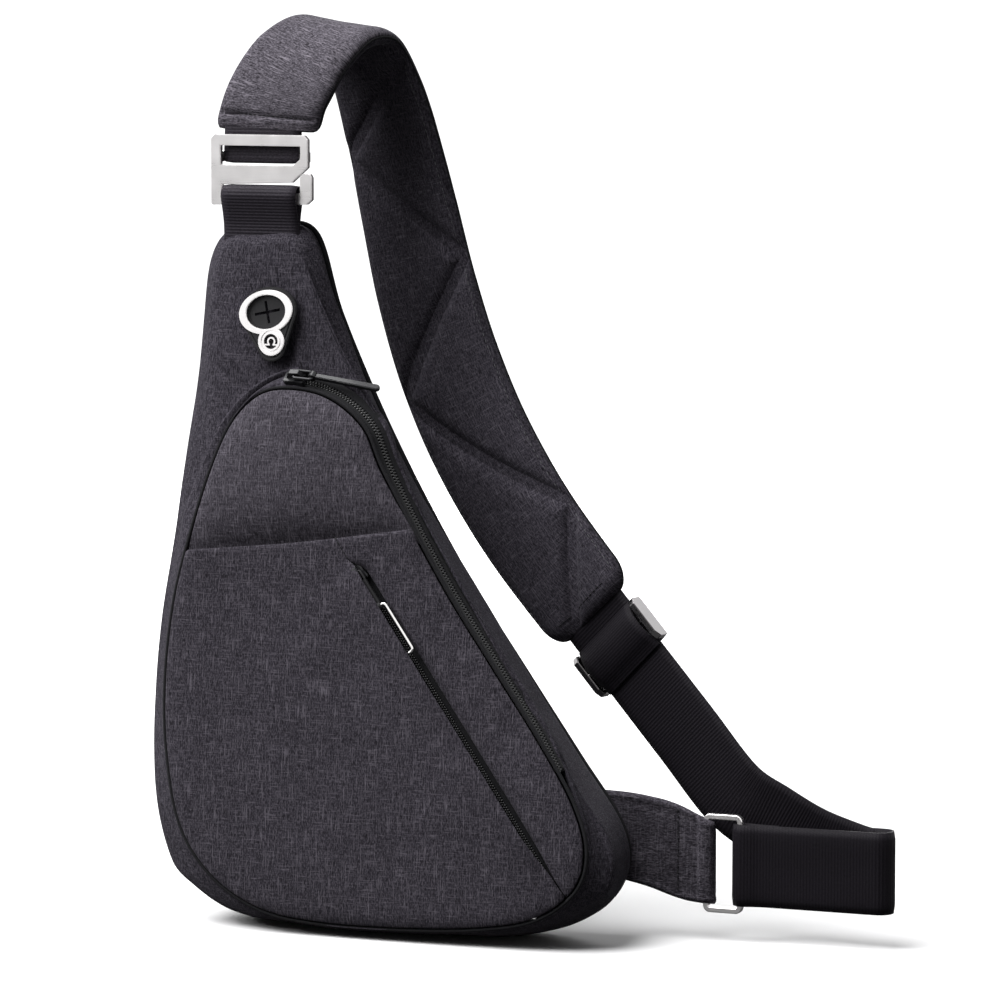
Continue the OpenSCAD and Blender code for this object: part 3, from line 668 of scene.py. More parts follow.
# A strip of the gusset stands up beside the seam, from the arch's top down its left side
row_at = np.arange(COUNT) / PER_ROW
column = unit(belly_front - seam)
slant = np.abs((column[:, [0, 2]] * front_out).sum(1))
strip_wide = np.interp(row_at, [0, 1, 2, 3, 4, 5, 6, 25], [3.4, 3.4, 3.7, 4.6, 6.6, 8.6, 9, 9])
strip_high = np.interp(row_at, [0, 0.3, 3.6, 5.4, 24.9, 25], [1, 1, 1, 0, 0, 1])
reach = np.minimum(strip_wide / np.maximum(slant, 0.2), 0.62 * np.linalg.norm(
    belly_front - seam, axis=1)) / (np.linalg.norm(belly_front - seam, axis=1))
steps = [reach * t for t in (0, 0.16, 0.36, 0.58, 0.76, 0.88, 0.95, 1.0, 1.05, 1.12, 1.24)]
steps += [reach * 1.24 + (1 - reach * 1.24) * t for t in (0.07, 0.16, 0.27, 0.4, 0.54, 0.7, 0.86)]
strip_lift = [0, 0.45, 0.9, 1.25, 1.45, 1.45, 1.15, 0.3, -0.75, -1.3, -1.45,
              -1.2, -0.9, -0.6, -0.3, -0.1, 0, 0]
shell = bend_corners([seam, belly_front, belly_mid, belly_rear, back_seam], (12, 12, 5),
                     (7, 4, 7, 6, 5, 3), steps)
rows_n = len(shell)
share = np.linspace(0, 1, rows_n)
around = unit(np.roll(shell, -1, 1) - np.roll(shell, 1, 1))
down = unit(np.gradient(shell, axis=0))
shell_n = np.cross(down, around)
flat_points = shell.reshape(-1, 3)
fade = np.repeat(smooth(share / 0.3) * smooth((1 - share) / 0.08), COUNT)
near_port = np.exp(-(((flat_points[:, 0] + 68) / 26) ** 2 + ((flat_points[:, 2] - 285) / 32) ** 2)
                   ** 2)
ripple = (0.7 * wrinkle(flat_points, 44, 1) + 0.35 * wrinkle(flat_points * [1, 1, 0.45], 15, 2))
puff = np.repeat(np.sin(math.pi * np.clip((share - 0.4) / 0.55, 0, 1)), COUNT) * 0.4
lift = (ripple + puff) * fade * (1 - near_port)
raised = np.zeros((rows_n, COUNT))
raised[:len(strip_lift)] = np.array(strip_lift)[:, None] * strip_high
lift = lift + raised.ravel()
flat_points = flat_points + shell_n.reshape(-1, 3) * lift[:, None]
flat_points[:, 2] = np.maximum(flat_points[:, 2], 0.0)
hem = flat_points[:COUNT] + (FRONT_N * -1.6)[None] + unit(flat_points[COUNT:2 * COUNT]
                                                          - flat_points[:COUNT]) * 0.6
verts = np.vstack([hem, flat_points])
gusset = mesh_piece("gusset_shell", verts, grid_faces(rows_n + 1, COUNT, wrap_cols=True), SHELL,
                    verts)
solidify(gusset, 1.3)
belongs(gusset, "bag", ["side_gusset"])

# ---------------------------------------------------------------- front panels

POCKET = np.array([[-140, 172.4], [-125, 174], [-45, 182], [40, 195], [60, 198]])
ZIP_TOP, ZIP_LOW = np.array([-20.0, 176.0]), np.array([89.0, 27.0])
ZIP_LENGTH = float(np.linalg.norm(ZIP_LOW - ZIP_TOP))
ZIP_DIR = (ZIP_LOW - ZIP_TOP) / ZIP_LENGTH
ZIP_SIDE = np.array([-ZIP_DIR[1], ZIP_DIR[0]])


def pocket_line(x):
    return soft_interp(np.asarray(x, float), POCKET, 16)


def zip_coords(p):
    d = np.asarray(p, float) - ZIP_TOP
    return d @ ZIP_DIR, d @ ZIP_SIDE


def lip_edge(s):
    """Edge of the flap over the pocket zip, measured from the zip's middle."""
    return -0.2 + 1.5 * smooth(s / 6) + 1.2 * smooth((s - 150) / 30)


def corner_edge(s):
    """Edge of the panel beyond the pocket zip."""
    return 0.1 + 3.7 * smooth(s / 10) - 1.0 * smooth((s - 162) / 20)


def along_pocket(shift):
    def border(a, b):
        n = max(int(abs(b[0] - a[0]) / 2), 2)
        x = np.linspace(a[0], b[0], n + 1)[1:-1]
        return np.stack([x, pocket_line(x) + shift], 1)
    return border


def along_zip(edge):
    def border(a, b):
        sa, sb = zip_coords(a)[0], zip_coords(b)[0]
        s = np.linspace(sa, sb, max(int(abs(sb - sa) / 1.5), 2) + 1)[1:-1]
        return ZIP_TOP + s[:, None] * ZIP_DIR + edge(s)[:, None] * ZIP_SIDE
    return border


panel_edge = front_2d - front_out * 0.5
upper_loop = cut(panel_edge, lambda p: p[1] - pocket_line(p[0]) + 7, along_pocket(-7))
below = cut(panel_edge, lambda p: pocket_line(p[0]) - p[1], along_pocket(0))
below = resample(below, 1.0, closed=True)
pocket_loop = cut(below, lambda p: lip_edge(zip_coords(p)[0]) - zip_coords(p)[1],
                  along_zip(lip_edge))
corner_loop = cut(below, lambda p: zip_coords(p)[1] - corner_edge(zip_coords(p)[0]),
                  along_zip(corner_edge))


def pocket_height(p):
    d = edge_distance(p, front_2d)
    s, y = zip_coords(p)
    top, lip = pocket_line(p[:, 0]) - p[:, 1], lip_edge(s) - y
    h = 3.1 + 2.3 * (1 - np.exp(-d / 34))
    h += (4.9 - h) * fall(top, 11)
    raised = smooth((s + 2) / 16) * smooth((178 - s) / 26)
    h += (7.3 - h) * np.exp(-(np.maximum(lip, 0) / 17) ** 1.3) * raised
    h = 0.3 + (h - 0.3) * quarter(d, 7) ** 0.8
    h -= 0.9 * fall(top, 0.7)
    h -= 0.8 * fall(lip, 0.7) * smooth(s / 4)
    return h + fabric_ripple(p, d, 3)


def fabric_ripple(p, d, seed):
    q = flat(p)
    return smooth(d / 14) * (0.5 * wrinkle(q, 46, seed) + 0.24 * wrinkle(q * [1, 0.5, 1], 15, seed + 1))


def corner_height(p):
    d = edge_distance(p, front_2d)
    s, y = zip_coords(p)
    top = pocket_line(p[:, 0]) - p[:, 1]
    h = 2.7 + 1.9 * (1 - np.exp(-d / 18))
    h += (4.9 - h) * np.maximum(fall(top, 11), 1 - smooth((s + 10) / 24))
    beside = y - corner_edge(s)
    roll = quarter(np.maximum(beside, 0) + 0.3, 9)
    open_here = smooth((s - 1) / 10) * (1 - 0.55 * smooth((s - 135) / 40))
    h = h + (-0.4 + (h + 0.4) * roll - h) * open_here
    h = 0.3 + (h - 0.3) * quarter(d, 7) ** 0.8
    h -= 0.9 * fall(top, 0.7)
    return h + fabric_ripple(p, d, 5)


def upper_height(p):
    d = edge_distance(p, front_2d)
    above = p[:, 1] - pocket_line(p[:, 0])
    h = 3.2 + 6.2 * (1 - np.exp(-d / 24))
    h = -1.2 + (h + 1.2) * (1 - fall(above, 13))
    h = 0.3 + (h - 0.3) * quarter(d, 8) ** 0.8
    return h + fabric_ripple(p, d, 7) * smooth(above / 16)


def front_panel(name, loop, height, material, node):
    p, f = fill_outline(loop)
    verts = front_point(p, height(p))
    ob = mesh_piece(name, verts, f, material, upright(p))
    solidify(ob, 1.2)
    belongs(ob, "bag", [node])


# The upper panel takes the lit heather copy: painted light from above
front_panel("upper_front_panel", upper_loop, upper_height, HEATHER_PAINTED_LIT, "front_upper_panel")
front_panel("pocket_front_panel", pocket_loop, pocket_height, FRONT, "front_pocket_panel")
front_panel("corner_front_panel", corner_loop, corner_height, FRONT, "front_corner_panel")


def on_panel(p, height, lift=0.2):
    p = np.asarray(p, float)
    return front_point(p, height(p) + lift), np.tile(FRONT_N, (len(p), 1))


# Row of topstitching above the pocket zip
s_up = np.linspace(-12, 1, 12)
stitches("pocket_seam_stitches", [on_panel(ZIP_TOP + s_up[:, None] * ZIP_DIR
                                           + 0.05 * ZIP_SIDE, pocket_height, 0.15)],
         THREAD, "bag", 2.6, 1.9, 0.3)

piping_path = front_point(front_2d + front_out * 0.7, 0.1)
piping_path = resample(piping_path, 2.0, closed=True)
belongs(tube("front_seam_piping", piping_path, 0.85, BINDING, 10), "bag",
        ["front_piping"])

# ---------------------------------------------------------------- back panel and binding

CHANNELS = [(250, 26), (185, 34), (115, 40), (58, 36)]


def channel_distance(p):
    """Distance to the nearest sewn chevron across the back."""
    best = np.full(len(p), 1e9)
    for top, drop in CHANNELS:
        z = top - drop * (1 - np.exp(-np.abs(p[:, 0] + 20 + 0.28 * (p[:, 1] - 100)) / 60))
        best = np.minimum(best, np.abs(p[:, 1] - z) * 0.85)
    return best


BACK_LOOP = back_2d - back_out * 1.2


def back_height(p):
    d = edge_distance(p, BACK_LOOP)
    h = 0.2 + 4.6 * quarter(d, 10) ** 0.8
    h -= 2.6 * groove(channel_distance(p), 3.0) * smooth((d - 12) / 8)
    q = flat(p)
    return h + smooth(d / 12) * 0.3 * wrinkle(q, 30, 9)


def back_place(p, n):
    return np.column_stack([p[:, 0], BACK_Y + n, p[:, 1]])


p, f = fill_outline(BACK_LOOP, 2.6)
back_verts = back_place(p, back_height(p))
back = mesh_piece("back_panel_mesh", back_verts, [tuple(reversed(q)) for q in f], MESH,
                  upright(p))
solidify(back, 1.2)
belongs(back, "bag", ["back_panel"])

binding_path = np.stack([back_2d[:, 0] + 0.7 * back_out[:, 0], np.full(COUNT, BACK_Y + 1.0),
                         back_2d[:, 1] + 0.7 * back_out[:, 1]], 1)
binding_path[:, 2] = np.maximum(binding_path[:, 2], 1.5)
belongs(tube("back_seam_binding", resample(binding_path, 2.0, closed=True), 1.35, BINDING, 12),
        "bag", ["back_binding"])

# ---------------------------------------------------------------- pieces inside


def inner_sheet(name, loop, place, material, node, thickness):
    p, f = fill_outline(loop, 5.0, rims=(1.5,))
    q = flat(p)
    verts = place(p, 0.25 * wrinkle(q, 40, 11))
    ob = mesh_piece(name, verts, f, material, upright(p))
    solidify(ob, thickness, 0)
    return belongs(ob, "bag", [node])


inner_sheet("front_lining_cloth", front_2d - front_out * 3.4,
            lambda p, n: front_point(p, -2.0 + n), LINING, "front_lining", 0.5)
foam_piece = inner_sheet("back_foam_sheet", back_2d - back_out * 3.4,
                         lambda p, n: back_place(p, -2.4 + 0 * n), FOAM, "back_foam", 3.6)
inner_sheet("back_lining_cloth", back_2d - back_out * 4.4,
            lambda p, n: back_place(p, -5.2 + n), LINING, "back_lining", 0.5)
divider_loop = back_2d - back_out * 12
divider_loop = divider_loop[(divider_loop[:, 1] < 160)]
inner_sheet("inner_divider_pocket", divider_loop,
            lambda p, n: back_place(p, -9.5 + n), LINING, "inner_divider", 0.6)

# ---------------------------------------------------------------- zips


def strip_piece(name, left, right, up, thickness, crown, material, node):
    """Strip of tape between two edges, a little crowned."""
    rings, marks = [], []
    s = lengths((left + right) / 2)
    width = np.linalg.norm(right - left, axis=1).mean()
    t = np.linspace(0, 1, 8)
    for i in range(len(left)):
        bow = crown * (1 - (2 * t - 1) ** 2)
        line = left[i] + (right[i] - left[i]) * t[:, None]
        top = line + up[i] * (bow + thickness / 2)[:, None]
        low = line + up[i] * (bow - thickness / 2)[:, None]
        rings.append(np.vstack([top, low[::-1]]))
        u = np.r_[t, t[::-1]] * width
        marks.append(np.stack([u, np.zeros_like(u), np.full_like(u, s[i])], 1))
    ob = loft(name, rings, material, np.concatenate(marks))
    return belongs(ob, "bag", [node] if node else ())


def ring_part(points, first, last):
    return points[[i % COUNT for i in range(int(first * PER_ROW), int(last * PER_ROW) + 1)]]


ZIP_FROM, ZIP_TO = 17.5, 25.0


def band_strip(name, a, b, lift, thickness, crown, material, node=None,
               first=ZIP_FROM, last=ZIP_TO):
    left, right = ring_part(zip_share(b), first, last), ring_part(zip_share(a), first, last)
    mid = (left + right) / 2
    d = unit(np.gradient(mid, axis=0))
    up = unit(np.cross(d, left - right))
    up *= np.where((up @ FRONT_N) < 0, -1, 1)[:, None]
    left, right = left + up * lift, right + up * lift
    return strip_piece(name, left, right, up, thickness, crown, material, node)


band_strip("main_zip_front_cloth", 0.02, 0.36, -0.3, 0.6, 0.25, ZIP_TAPE, "main_zip_front_tape")
band_strip("main_zip_rear_cloth", 0.64, 1.06, -0.3, 0.6, 0.25, ZIP_TAPE, "main_zip_rear_tape")
band_strip("zip_garage_cloth", 0.06, 1.04, 0.2, 1.2, 0.9, SHELL, None, 24.8, 26.9)


def teeth(name, path, across, up, material, node, pitch=1.5, reach=1.5, height=1.0):
    """Two rows of coil turns that meet in the middle, one row shifted by half a pitch."""
    s = lengths(path)
    verts, faces = [], []
    shape = [(-0.34, -0.5), (0.34, -0.5), (0.42, 0.1), (0.22, 0.5), (-0.22, 0.5), (-0.42, 0.1)]
    t_all = unit(np.gradient(path, axis=0))
    for k, at in enumerate(np.arange(0.4, s[-1] - 0.4, pitch / 2)):
        side = 1 if k % 2 else -1
        c = at_length(at, s, path)
        w, u, t = (unit(at_length(at, s, table)) for table in (across, up, t_all))
        base = len(verts)
        for wide, scale in ((-0.25, 0.7), (0.2, 1.0), (reach * 0.75, 1.0), (reach, 0.6)):
            for a, b in shape:
                verts.append(c + w * side * wide + t * a * pitch * 0.95 * scale
                             + u * b * height * scale)
        faces += [tuple(base + q for q in f) for f in grid_faces(4, 6, wrap_cols=True)]
        faces += [tuple(base + j for j in range(6)), tuple(base + 18 + j for j in range(6))]
    return belongs(mesh_piece(name, verts, faces, material, closed=True), "bag", [node])


mid_zip = ring_part(zip_share(0.5), ZIP_FROM, ZIP_TO)
wide_zip = ring_part(zip_share(0.66), ZIP_FROM, ZIP_TO) - ring_part(zip_share(0.34), ZIP_FROM,
                                                                    ZIP_TO)
zip_up = unit(np.cross(unit(np.gradient(mid_zip, axis=0)), wide_zip))
zip_up *= np.where((zip_up @ FRONT_N) < 0, -1, 1)[:, None]
teeth("main_zip_teeth", mid_zip - zip_up * 0.1, wide_zip, zip_up, TEETH, "main_zip_chain")

s_tape = np.linspace(2, ZIP_LENGTH - 4, 60)
tape_mid = ZIP_TOP + s_tape[:, None] * ZIP_DIR
tape_half = np.minimum(9.0, 1.5 + 0.5 * (s_tape + 8))[:, None] * ZIP_SIDE
front_up = np.tile(FRONT_N, (60, 1))
strip_piece("pocket_zip_cloth", front_point(tape_mid - tape_half, -0.6),
            front_point(tape_mid + tape_half, -0.6), front_up, 0.6, 0.1, ZIP_TAPE,
            "pocket_zip_tape")
s_chain = np.linspace(4, ZIP_LENGTH - 8, 60)
chain_path = front_point(ZIP_TOP + s_chain[:, None] * ZIP_DIR, 0.35)
side_3d = front_point(ZIP_TOP + ZIP_SIDE, 0) - front_point(ZIP_TOP, 0)
teeth("pocket_zip_teeth", chain_path, np.tile(side_3d, (60, 1)), front_up, TEETH,
      "pocket_zip_chain", 1.3, 1.25, 0.9)

# ---------------------------------------------------------------- webbing


def width_dirs(rows, level=0.0):
    """Directions along, across and off a ribbon. Its start is cut level over a length."""
    centre = rows[:, :3]
    t = unit(np.gradient(centre, axis=0))
    a = np.radians(rows[:, 3])
    w = np.stack([np.cos(a), rows[:, 4], np.sin(a)], 1)
    square = smooth(lengths(centre) / level) if level else np.ones(len(rows))
    w = unit(w - t * ((w * t).sum(1) * square)[:, None])
    return t, w, unit(np.cross(t, w))


def ribbon(name, centre, w, n, width, thickness, rib, depth, material):
    """Woven ribbon on its centre line. The ribs are real ridges."""
    s = lengths(centre)
    u = np.linspace(-1, 1, 11)
    edge = 1 - np.clip((np.abs(u) - 0.9) / 0.1, 0, 1) ** 2 * 0.55
    rings, marks = [], []
    for i in range(len(centre)):
        ridge = depth * math.sin(2 * math.pi * s[i] / rib) * (np.abs(u) < 0.93)
        line = centre[i] + w[i] * (u * width / 2)[:, None]
        off = n[i] * (thickness / 2 * edge + ridge)[:, None]
        rings.append(np.vstack([line + off, (line - off)[::-1]]))
        x = np.r_[u, u[::-1]] * width / 2
        marks.append(np.stack([x, np.zeros_like(x), np.full_like(x, s[i])], 1))
    return loft(name, rings, material, np.concatenate(marks))


def webbing(name, rows, thickness, body_name, nodes, rib, depth, material):
    """Webbing along rows of x, y, z, width angle, reach."""
    rows = resample(rows, rib / 4, key=3)
    _, w, n = width_dirs(rows)
    ob = ribbon(name, rows[:, :3], w, n, WEB_WIDE, thickness, rib, depth, material)
    return belongs(ob, body_name, nodes)


WEB_WIDE = 38
NECK_X, NECK_Y, ARM_Z, BAR_Z, BAR_Y = -74.5, 12.0, 340.6, 358.6, 16.9


def upright_rows(profile, x):
    """Ribbon rows from a profile of y, z points, with its width along X."""
    yz = open_curve(profile, 6)
    return np.column_stack([np.full(len(yz), x), yz, np.zeros(len(yz)), np.zeros(len(yz))])


def turn(cy, cz, r, first, last, n=9):
    return [[cy + r * math.cos(math.radians(a)), cz + r * math.sin(math.radians(a))]
            for a in np.linspace(first, last, n)]


# The two loops at the hook below take the lit webbing copy: painted light
neck = upright_rows([[11.3, 299], [11.3, 312], [11.2, 325], [10.2, 331]]
                    + turn(NECK_Y, ARM_Z, 4.4, 200, -20)
                    + [[13.8, 331], [12.8, 325], [12.7, 312], [12.7, 299]], NECK_X)
neck_piece = webbing("neck_webbing_loop", neck, 1.25, None,
                     ["neck_webbing", "hook_webbing_lower"], 1.5, 0.17, WEB_PAINTED_LIT)
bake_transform(neck_piece)

upper_loop_rows = upright_rows([[16.2, 384], [15.9, 374], [15.2, 366]]
                               + turn(BAR_Y, BAR_Z, 2.4, 170, 370)
                               + [[18.6, 366], [18.2, 374], [17.9, 384]], NECK_X - 1.4)
webbing("hook_webbing_loop", upper_loop_rows, 1.2, "strap", ["hook_webbing_upper"],
        1.5, 0.17, WEB_PAINTED_LIT)

strap_end, strap_low = np.array([74, 60, 145.0]), np.array([148.5, 44, 67.0])
strap_dir = unit(strap_low - strap_end)


def row(p, angle, reach):
    return [*p, angle, reach]


web_rows = [
    row(strap_end - 13 * strap_dir, 45, -0.14), row(strap_end, 45, -0.14),
    row((2 * strap_end + strap_low) / 3, 45, -0.14),
    row((strap_end + 2 * strap_low) / 3, 45, -0.14), row(strap_low, 46, -0.14),
    [168, 43.5, 55, 57, -0.1], [186, 44.5, 45, 70, -0.05], [205, 46, 38, 82, 0],
    [214, 46, 36, 90, 0]]
web_path = list(open_curve(web_rows, 8))
web_path += [[221 + 6.5 * math.cos(math.radians(a)), 39.5 + 6.5 * math.sin(math.radians(a)),
              36, 90, 0] for a in range(90, -91, -15)]
RING_X, RING_Y, WING_X = 155.8, 34.0, 139.4
web_path += list(open_curve([[205, 33, 36, 90, 0], [178, 33.0, 36, 90, 0], [166, 32.6, 36, 90, 0],
                             [160.5, 31.4, 36, 90, 0], [RING_X, RING_Y - 3.1, 36, 90, 0],
                             [RING_X - 3.1, RING_Y, 36, 90, 0], [RING_X, RING_Y + 3.1, 36, 90, 0],
                             [161, 35.8, 36, 90, 0], [168, 34.8, 36, 90, 0],
                             [174, 34.7, 36, 90, 0]], 6))
webbing("lower_webbing_strap", np.array(web_path), 1.6, "strap", ["lower_webbing"], 1.5, 0.15,
        WEB)

adj_side = unit(np.array([math.cos(math.pi / 4), -0.14, math.sin(math.pi / 4)]))
adj_side = unit(adj_side - strap_dir * (adj_side @ strap_dir))
adj_out = np.cross(strap_dir, adj_side)
adj_at = strap_end + strap_dir * 20
adj_profile = [[11.8, 1.5], [10, 2.3], [6.4, 4.4], [3, 5.4], [0, 5.6], [-3, 5.4], [-6.4, 4.6],
               [-10, 2.9], [-13.4, 1.6]]
adj_pts = np.array([adj_at - strap_dir * a + adj_out * b for a, b in open_curve(adj_profile, 5)])
adj_pts = resample(adj_pts, 1.3 / 4)
adj_t = unit(np.gradient(adj_pts, axis=0))
adj_w = unit(adj_side - adj_t * (adj_t @ adj_side)[:, None])
belongs(ribbon("adjuster_webbing_turn", adj_pts, adj_w, np.cross(adj_t, adj_w), 37.4, 1.3, 1.3,
               0.1, WEB), "adjuster", ["adjuster_webbing"])

# ---------------------------------------------------------------- shoulder pad

pad_rows = [
    [-74, 17.6, 371.2, -1.5, -0.04], [-69, 18.8, 388, -6, -0.12], [-59, 27, 407, -11, -0.20],
    [-51, 42, 416.8, -9, -0.26], [-45, 58, 412, -3, -0.30], [-40, 70, 390, 4, -0.30],
    [-34, 76, 360, 9, -0.26], [-27, 78, 328, 13, -0.18], [-18, 77, 293, 19, -0.10],
    [-5, 74, 257, 27, -0.04], [14, 70, 220, 34, -0.04], [40, 65.5, 183, 40, -0.08],
    [74, 60, 145, 45, -0.14]]
PAD_W = 53.5
HEM_AT = 6.5
pad_path = resample(open_curve(pad_rows, 12), 1.5, key=3)
_, pad_side, pad_n = width_dirs(pad_path, 39.0)
pad_s = lengths(pad_path[:, :3])
PAD_L = pad_s[-1]
# Where the quilting's zigzag meets the pad's edges: distance along the pad, side
ZIGZAG = np.array([[-24, 27], [30, -27], [86, 27], [136, -27], [193, 27], [249, -27], [334, 27],
                   [400, -27]], float)


def pad_frame(v):
    """Middle of the pad at lengths v, and its directions across and off the pad."""
    def at(table):
        return np.stack([np.interp(v, pad_s, table[:, k]) for k in range(3)], -1)
    return at(pad_path), unit(at(pad_side)), unit(at(pad_n))


def quilt_distance(u, v):
    """Distance to the nearest quilting line."""
    best = np.full(np.shape(u), 1e9)
    q = np.stack([v, u], -1)
    for a, b in zip(ZIGZAG[:-1], ZIGZAG[1:]):
        d = b - a
        t = np.clip(((q - a) @ d) / (d @ d), 0, 1)
        best = np.minimum(best, np.linalg.norm(q - (a + t[..., None] * d), axis=-1))
    return best


def pad_half_width(v):
    """Half width, drawn in round the lower end's corners and a little at the upper end."""
    low = np.clip((PAD_L - v) / 13, 0, 1)
    high = np.clip(v / 5, 0, 1)
    wide = PAD_W / 2 - 1.8 * smooth(1 - np.abs(np.asarray(v, float) - 75) / 55)
    return wide - 9 * (1 - np.sqrt(1 - (1 - low) ** 2)) - 3 * (1 - np.sqrt(1 - (1 - high) ** 2))


def pad_rise(u, v):
    """How full the pad is at a place, 0 at its edges and 1 in the middle."""
    inset = pad_half_width(v) - np.abs(u)
    ends = np.minimum(quarter(v + 0.6, 7), quarter(PAD_L - v + 0.4, 8))
    return quarter(inset + 0.15, 7.5) * ends


def pad_surface(u, v, inner, lift=0.0):
    c, w, n = pad_frame(v)
    rise = pad_rise(u, v)
    q = np.stack([u, np.full(np.shape(u), 3.0 if inner else 40.0), v], -1).reshape(-1, 3)
    ripple = (0.55 * wrinkle(q, 26, 13) + 0.25 * wrinkle(q, 9, 14)).reshape(np.shape(u))
    if inner:
        d = quilt_distance(u, v)
        body_h = 3.6 + 2.2 * (1 - np.exp(-d / 8))
        h = 0.35 + (body_h - 0.35 + 0.5 * ripple) * rise
        h = h - rise * (3.0 * groove(d, 3.4) + 0.8 * groove(d, 0.9))
        return c + w * u[..., None] + n * (h + lift)[..., None]
    h = 0.35 + (4.15 + 0.5 * ripple) * rise
    h = h - 1.7 * groove(v - HEM_AT, 1.1) * smooth((25.5 - np.abs(u)) / 2)
    return c + w * u[..., None] - n * (h + lift)[..., None]


def pad_cover(name, inner, material, node):
    v = np.unique(np.r_[np.linspace(0, 12, 17), np.arange(12, PAD_L - 16, 1.6),
                        np.linspace(PAD_L - 16, PAD_L, 20)])
    k = 45
    t = np.sin(np.linspace(-1, 1, k) * math.pi / 2 * 0.98) / math.sin(math.pi / 2 * 0.98)
    t = 0.55 * t + 0.45 * np.linspace(-1, 1, k)
    vv = np.repeat(v, k).reshape(-1, k)
    uu = t[None] * pad_half_width(v)[:, None]
    skin = pad_surface(uu, vv, inner)
    c, w, n = pad_frame(vv)
    sign = 1.0 if inner else -1.0
    under = c + w * uu[..., None] + n * (sign * (0.12 + 2.2 * pad_rise(uu, vv) ** 2))[..., None]
    rows_v = len(v)
    verts = np.vstack([skin.reshape(-1, 3), under.reshape(-1, 3)])
    if inner:
        mark = np.stack([uu, np.zeros_like(uu), vv], -1).reshape(-1, 3)
    else:
        mark = np.stack([vv, np.zeros_like(uu), uu], -1).reshape(-1, 3)
    faces = grid_faces(rows_v, k)
    base = rows_v * k
    low = [tuple(base + q for q in reversed(f)) for f in faces]
    rim = [i * k for i in range(rows_v)] + [(rows_v - 1) * k + j for j in range(1, k)]
    rim += [i * k + k - 1 for i in range(rows_v - 2, -1, -1)] + [j for j in range(k - 2, 0, -1)]
    sides = [(rim[i], base + rim[i], base + rim[(i + 1) % len(rim)], rim[(i + 1) % len(rim)])
             for i in range(len(rim))]
    faces = faces + low + sides
    ob = mesh_piece(name, verts, faces, material, np.vstack([mark, mark]), closed=True)
    return belongs(ob, "strap", [node])


# Outer cover uses the lit pad heather: painted top light
pad_cover("pad_outer_cloth", False, PAD_OUT_PAINTED_LIT, "pad_outer_cover")
pad_cover("pad_inner_cloth", True, PAD_IN, "pad_inner_cover")

v_foam = np.linspace(9, PAD_L - 10, 120)
foam_rings = []
for v in v_foam:
    c, w, n = pad_frame(v)
    a = np.linspace(0, 2 * math.pi, 28, endpoint=False)
    x = np.sign(np.cos(a)) * np.abs(np.cos(a)) ** 0.35 * 22.5
    y = np.sign(np.sin(a)) * np.abs(np.sin(a)) ** 0.6 * 0.9
    foam_rings.append(c + x[:, None] * w + y[:, None] * n)
pad_core = loft("pad_foam_core", foam_rings, FOAM)
belongs(pad_core, "strap", ["pad_foam"])


def pad_row(us, vs, inner, lift=0.12):
    us, vs = np.asarray(us, float), np.asarray(vs, float)
    n = pad_frame(vs)[2]
    return pad_surface(us, vs, inner, lift), n if inner else -n


v_edge = np.arange(6, PAD_L - 8, 1.5)
edge_rows = []
for side in (-1, 1):
    edge_rows.append(pad_row(side * (pad_half_width(v_edge) - 2.4), v_edge, True, 0.05))
stitches("pad_edge_stitches", edge_rows, THREAD_LIGHT, "strap", 3.2, 2.0, 0.2)
quilt_rows = []
for a, b in zip(ZIGZAG[:-1], ZIGZAG[1:]):
    line = a + (b - a) * np.linspace(0.02, 0.98, 60)[:, None]
    line = line[(line[:, 0] > 9) & (line[:, 0] < PAD_L - 9) & (np.abs(line[:, 1]) < 25)]
    if len(line) > 2:
        quilt_rows.append(pad_row(line[:, 1], line[:, 0], True, 0.15))
stitches("quilting_stitches", quilt_rows, THREAD, "strap", 3.0, 2.2, 0.26)
across_u = np.linspace(-20, 20, 30)
stitches("pad_end_stitches", [pad_row(across_u, np.full(30, HEM_AT), False, 0.1)], THREAD, "strap",
         2.4, 1.9, 0.35)
v_low = np.full(30, PAD_L - 7.0)
stitches("pad_low_stitches", [pad_row(np.linspace(-17, 17, 30), v_low, True, 0.1),
                              pad_row(np.linspace(-17, 17, 30), v_low, False, 0.1)],
         THREAD, "strap", 2.6, 2.0, 0.28)
# Sewn edge between the two covers
rim_v = np.r_[np.linspace(0.3, 6, 7)[:-1], v_edge, PAD_L - np.array([6, 4, 2.5, 1.2, 0.3])]
rim_half = pad_half_width(rim_v)


def rim_points(us, vs):
    c, w, _ = pad_frame(vs)
    return c + w * us[:, None]


ends = np.linspace(-1, 1, 22)[1:-1]
rim_path = np.vstack([
    rim_points(-rim_half, rim_v), rim_points(ends * rim_half[-1], np.full(20, PAD_L)),
    rim_points(rim_half[::-1], rim_v[::-1]), rim_points(-ends * rim_half[0], np.full(20, 0.1))])
belongs(tube("pad_edge_seam", resample(rim_path, 1.8, closed=True), 0.6, BINDING, 8),
        "strap", ())

# ---------------------------------------------------------------- wing

WING_TOP = np.array([[84, 68], [105, 67.5], [122, 64.5], [134, 59.5], [139, 56], [146, 55.2]])
WING_LOW = np.array([[84, 28], [98, 26.8], [112, 24.0], [124, 19.3], [134, 17.0], [146, 16.8]])
WING_MID = np.array([[84, 29.2], [104, 29.2], [120, 30.8], [132, 32.9], [139, 34], [146, 34]])
WING_SEAM_X = 126.5


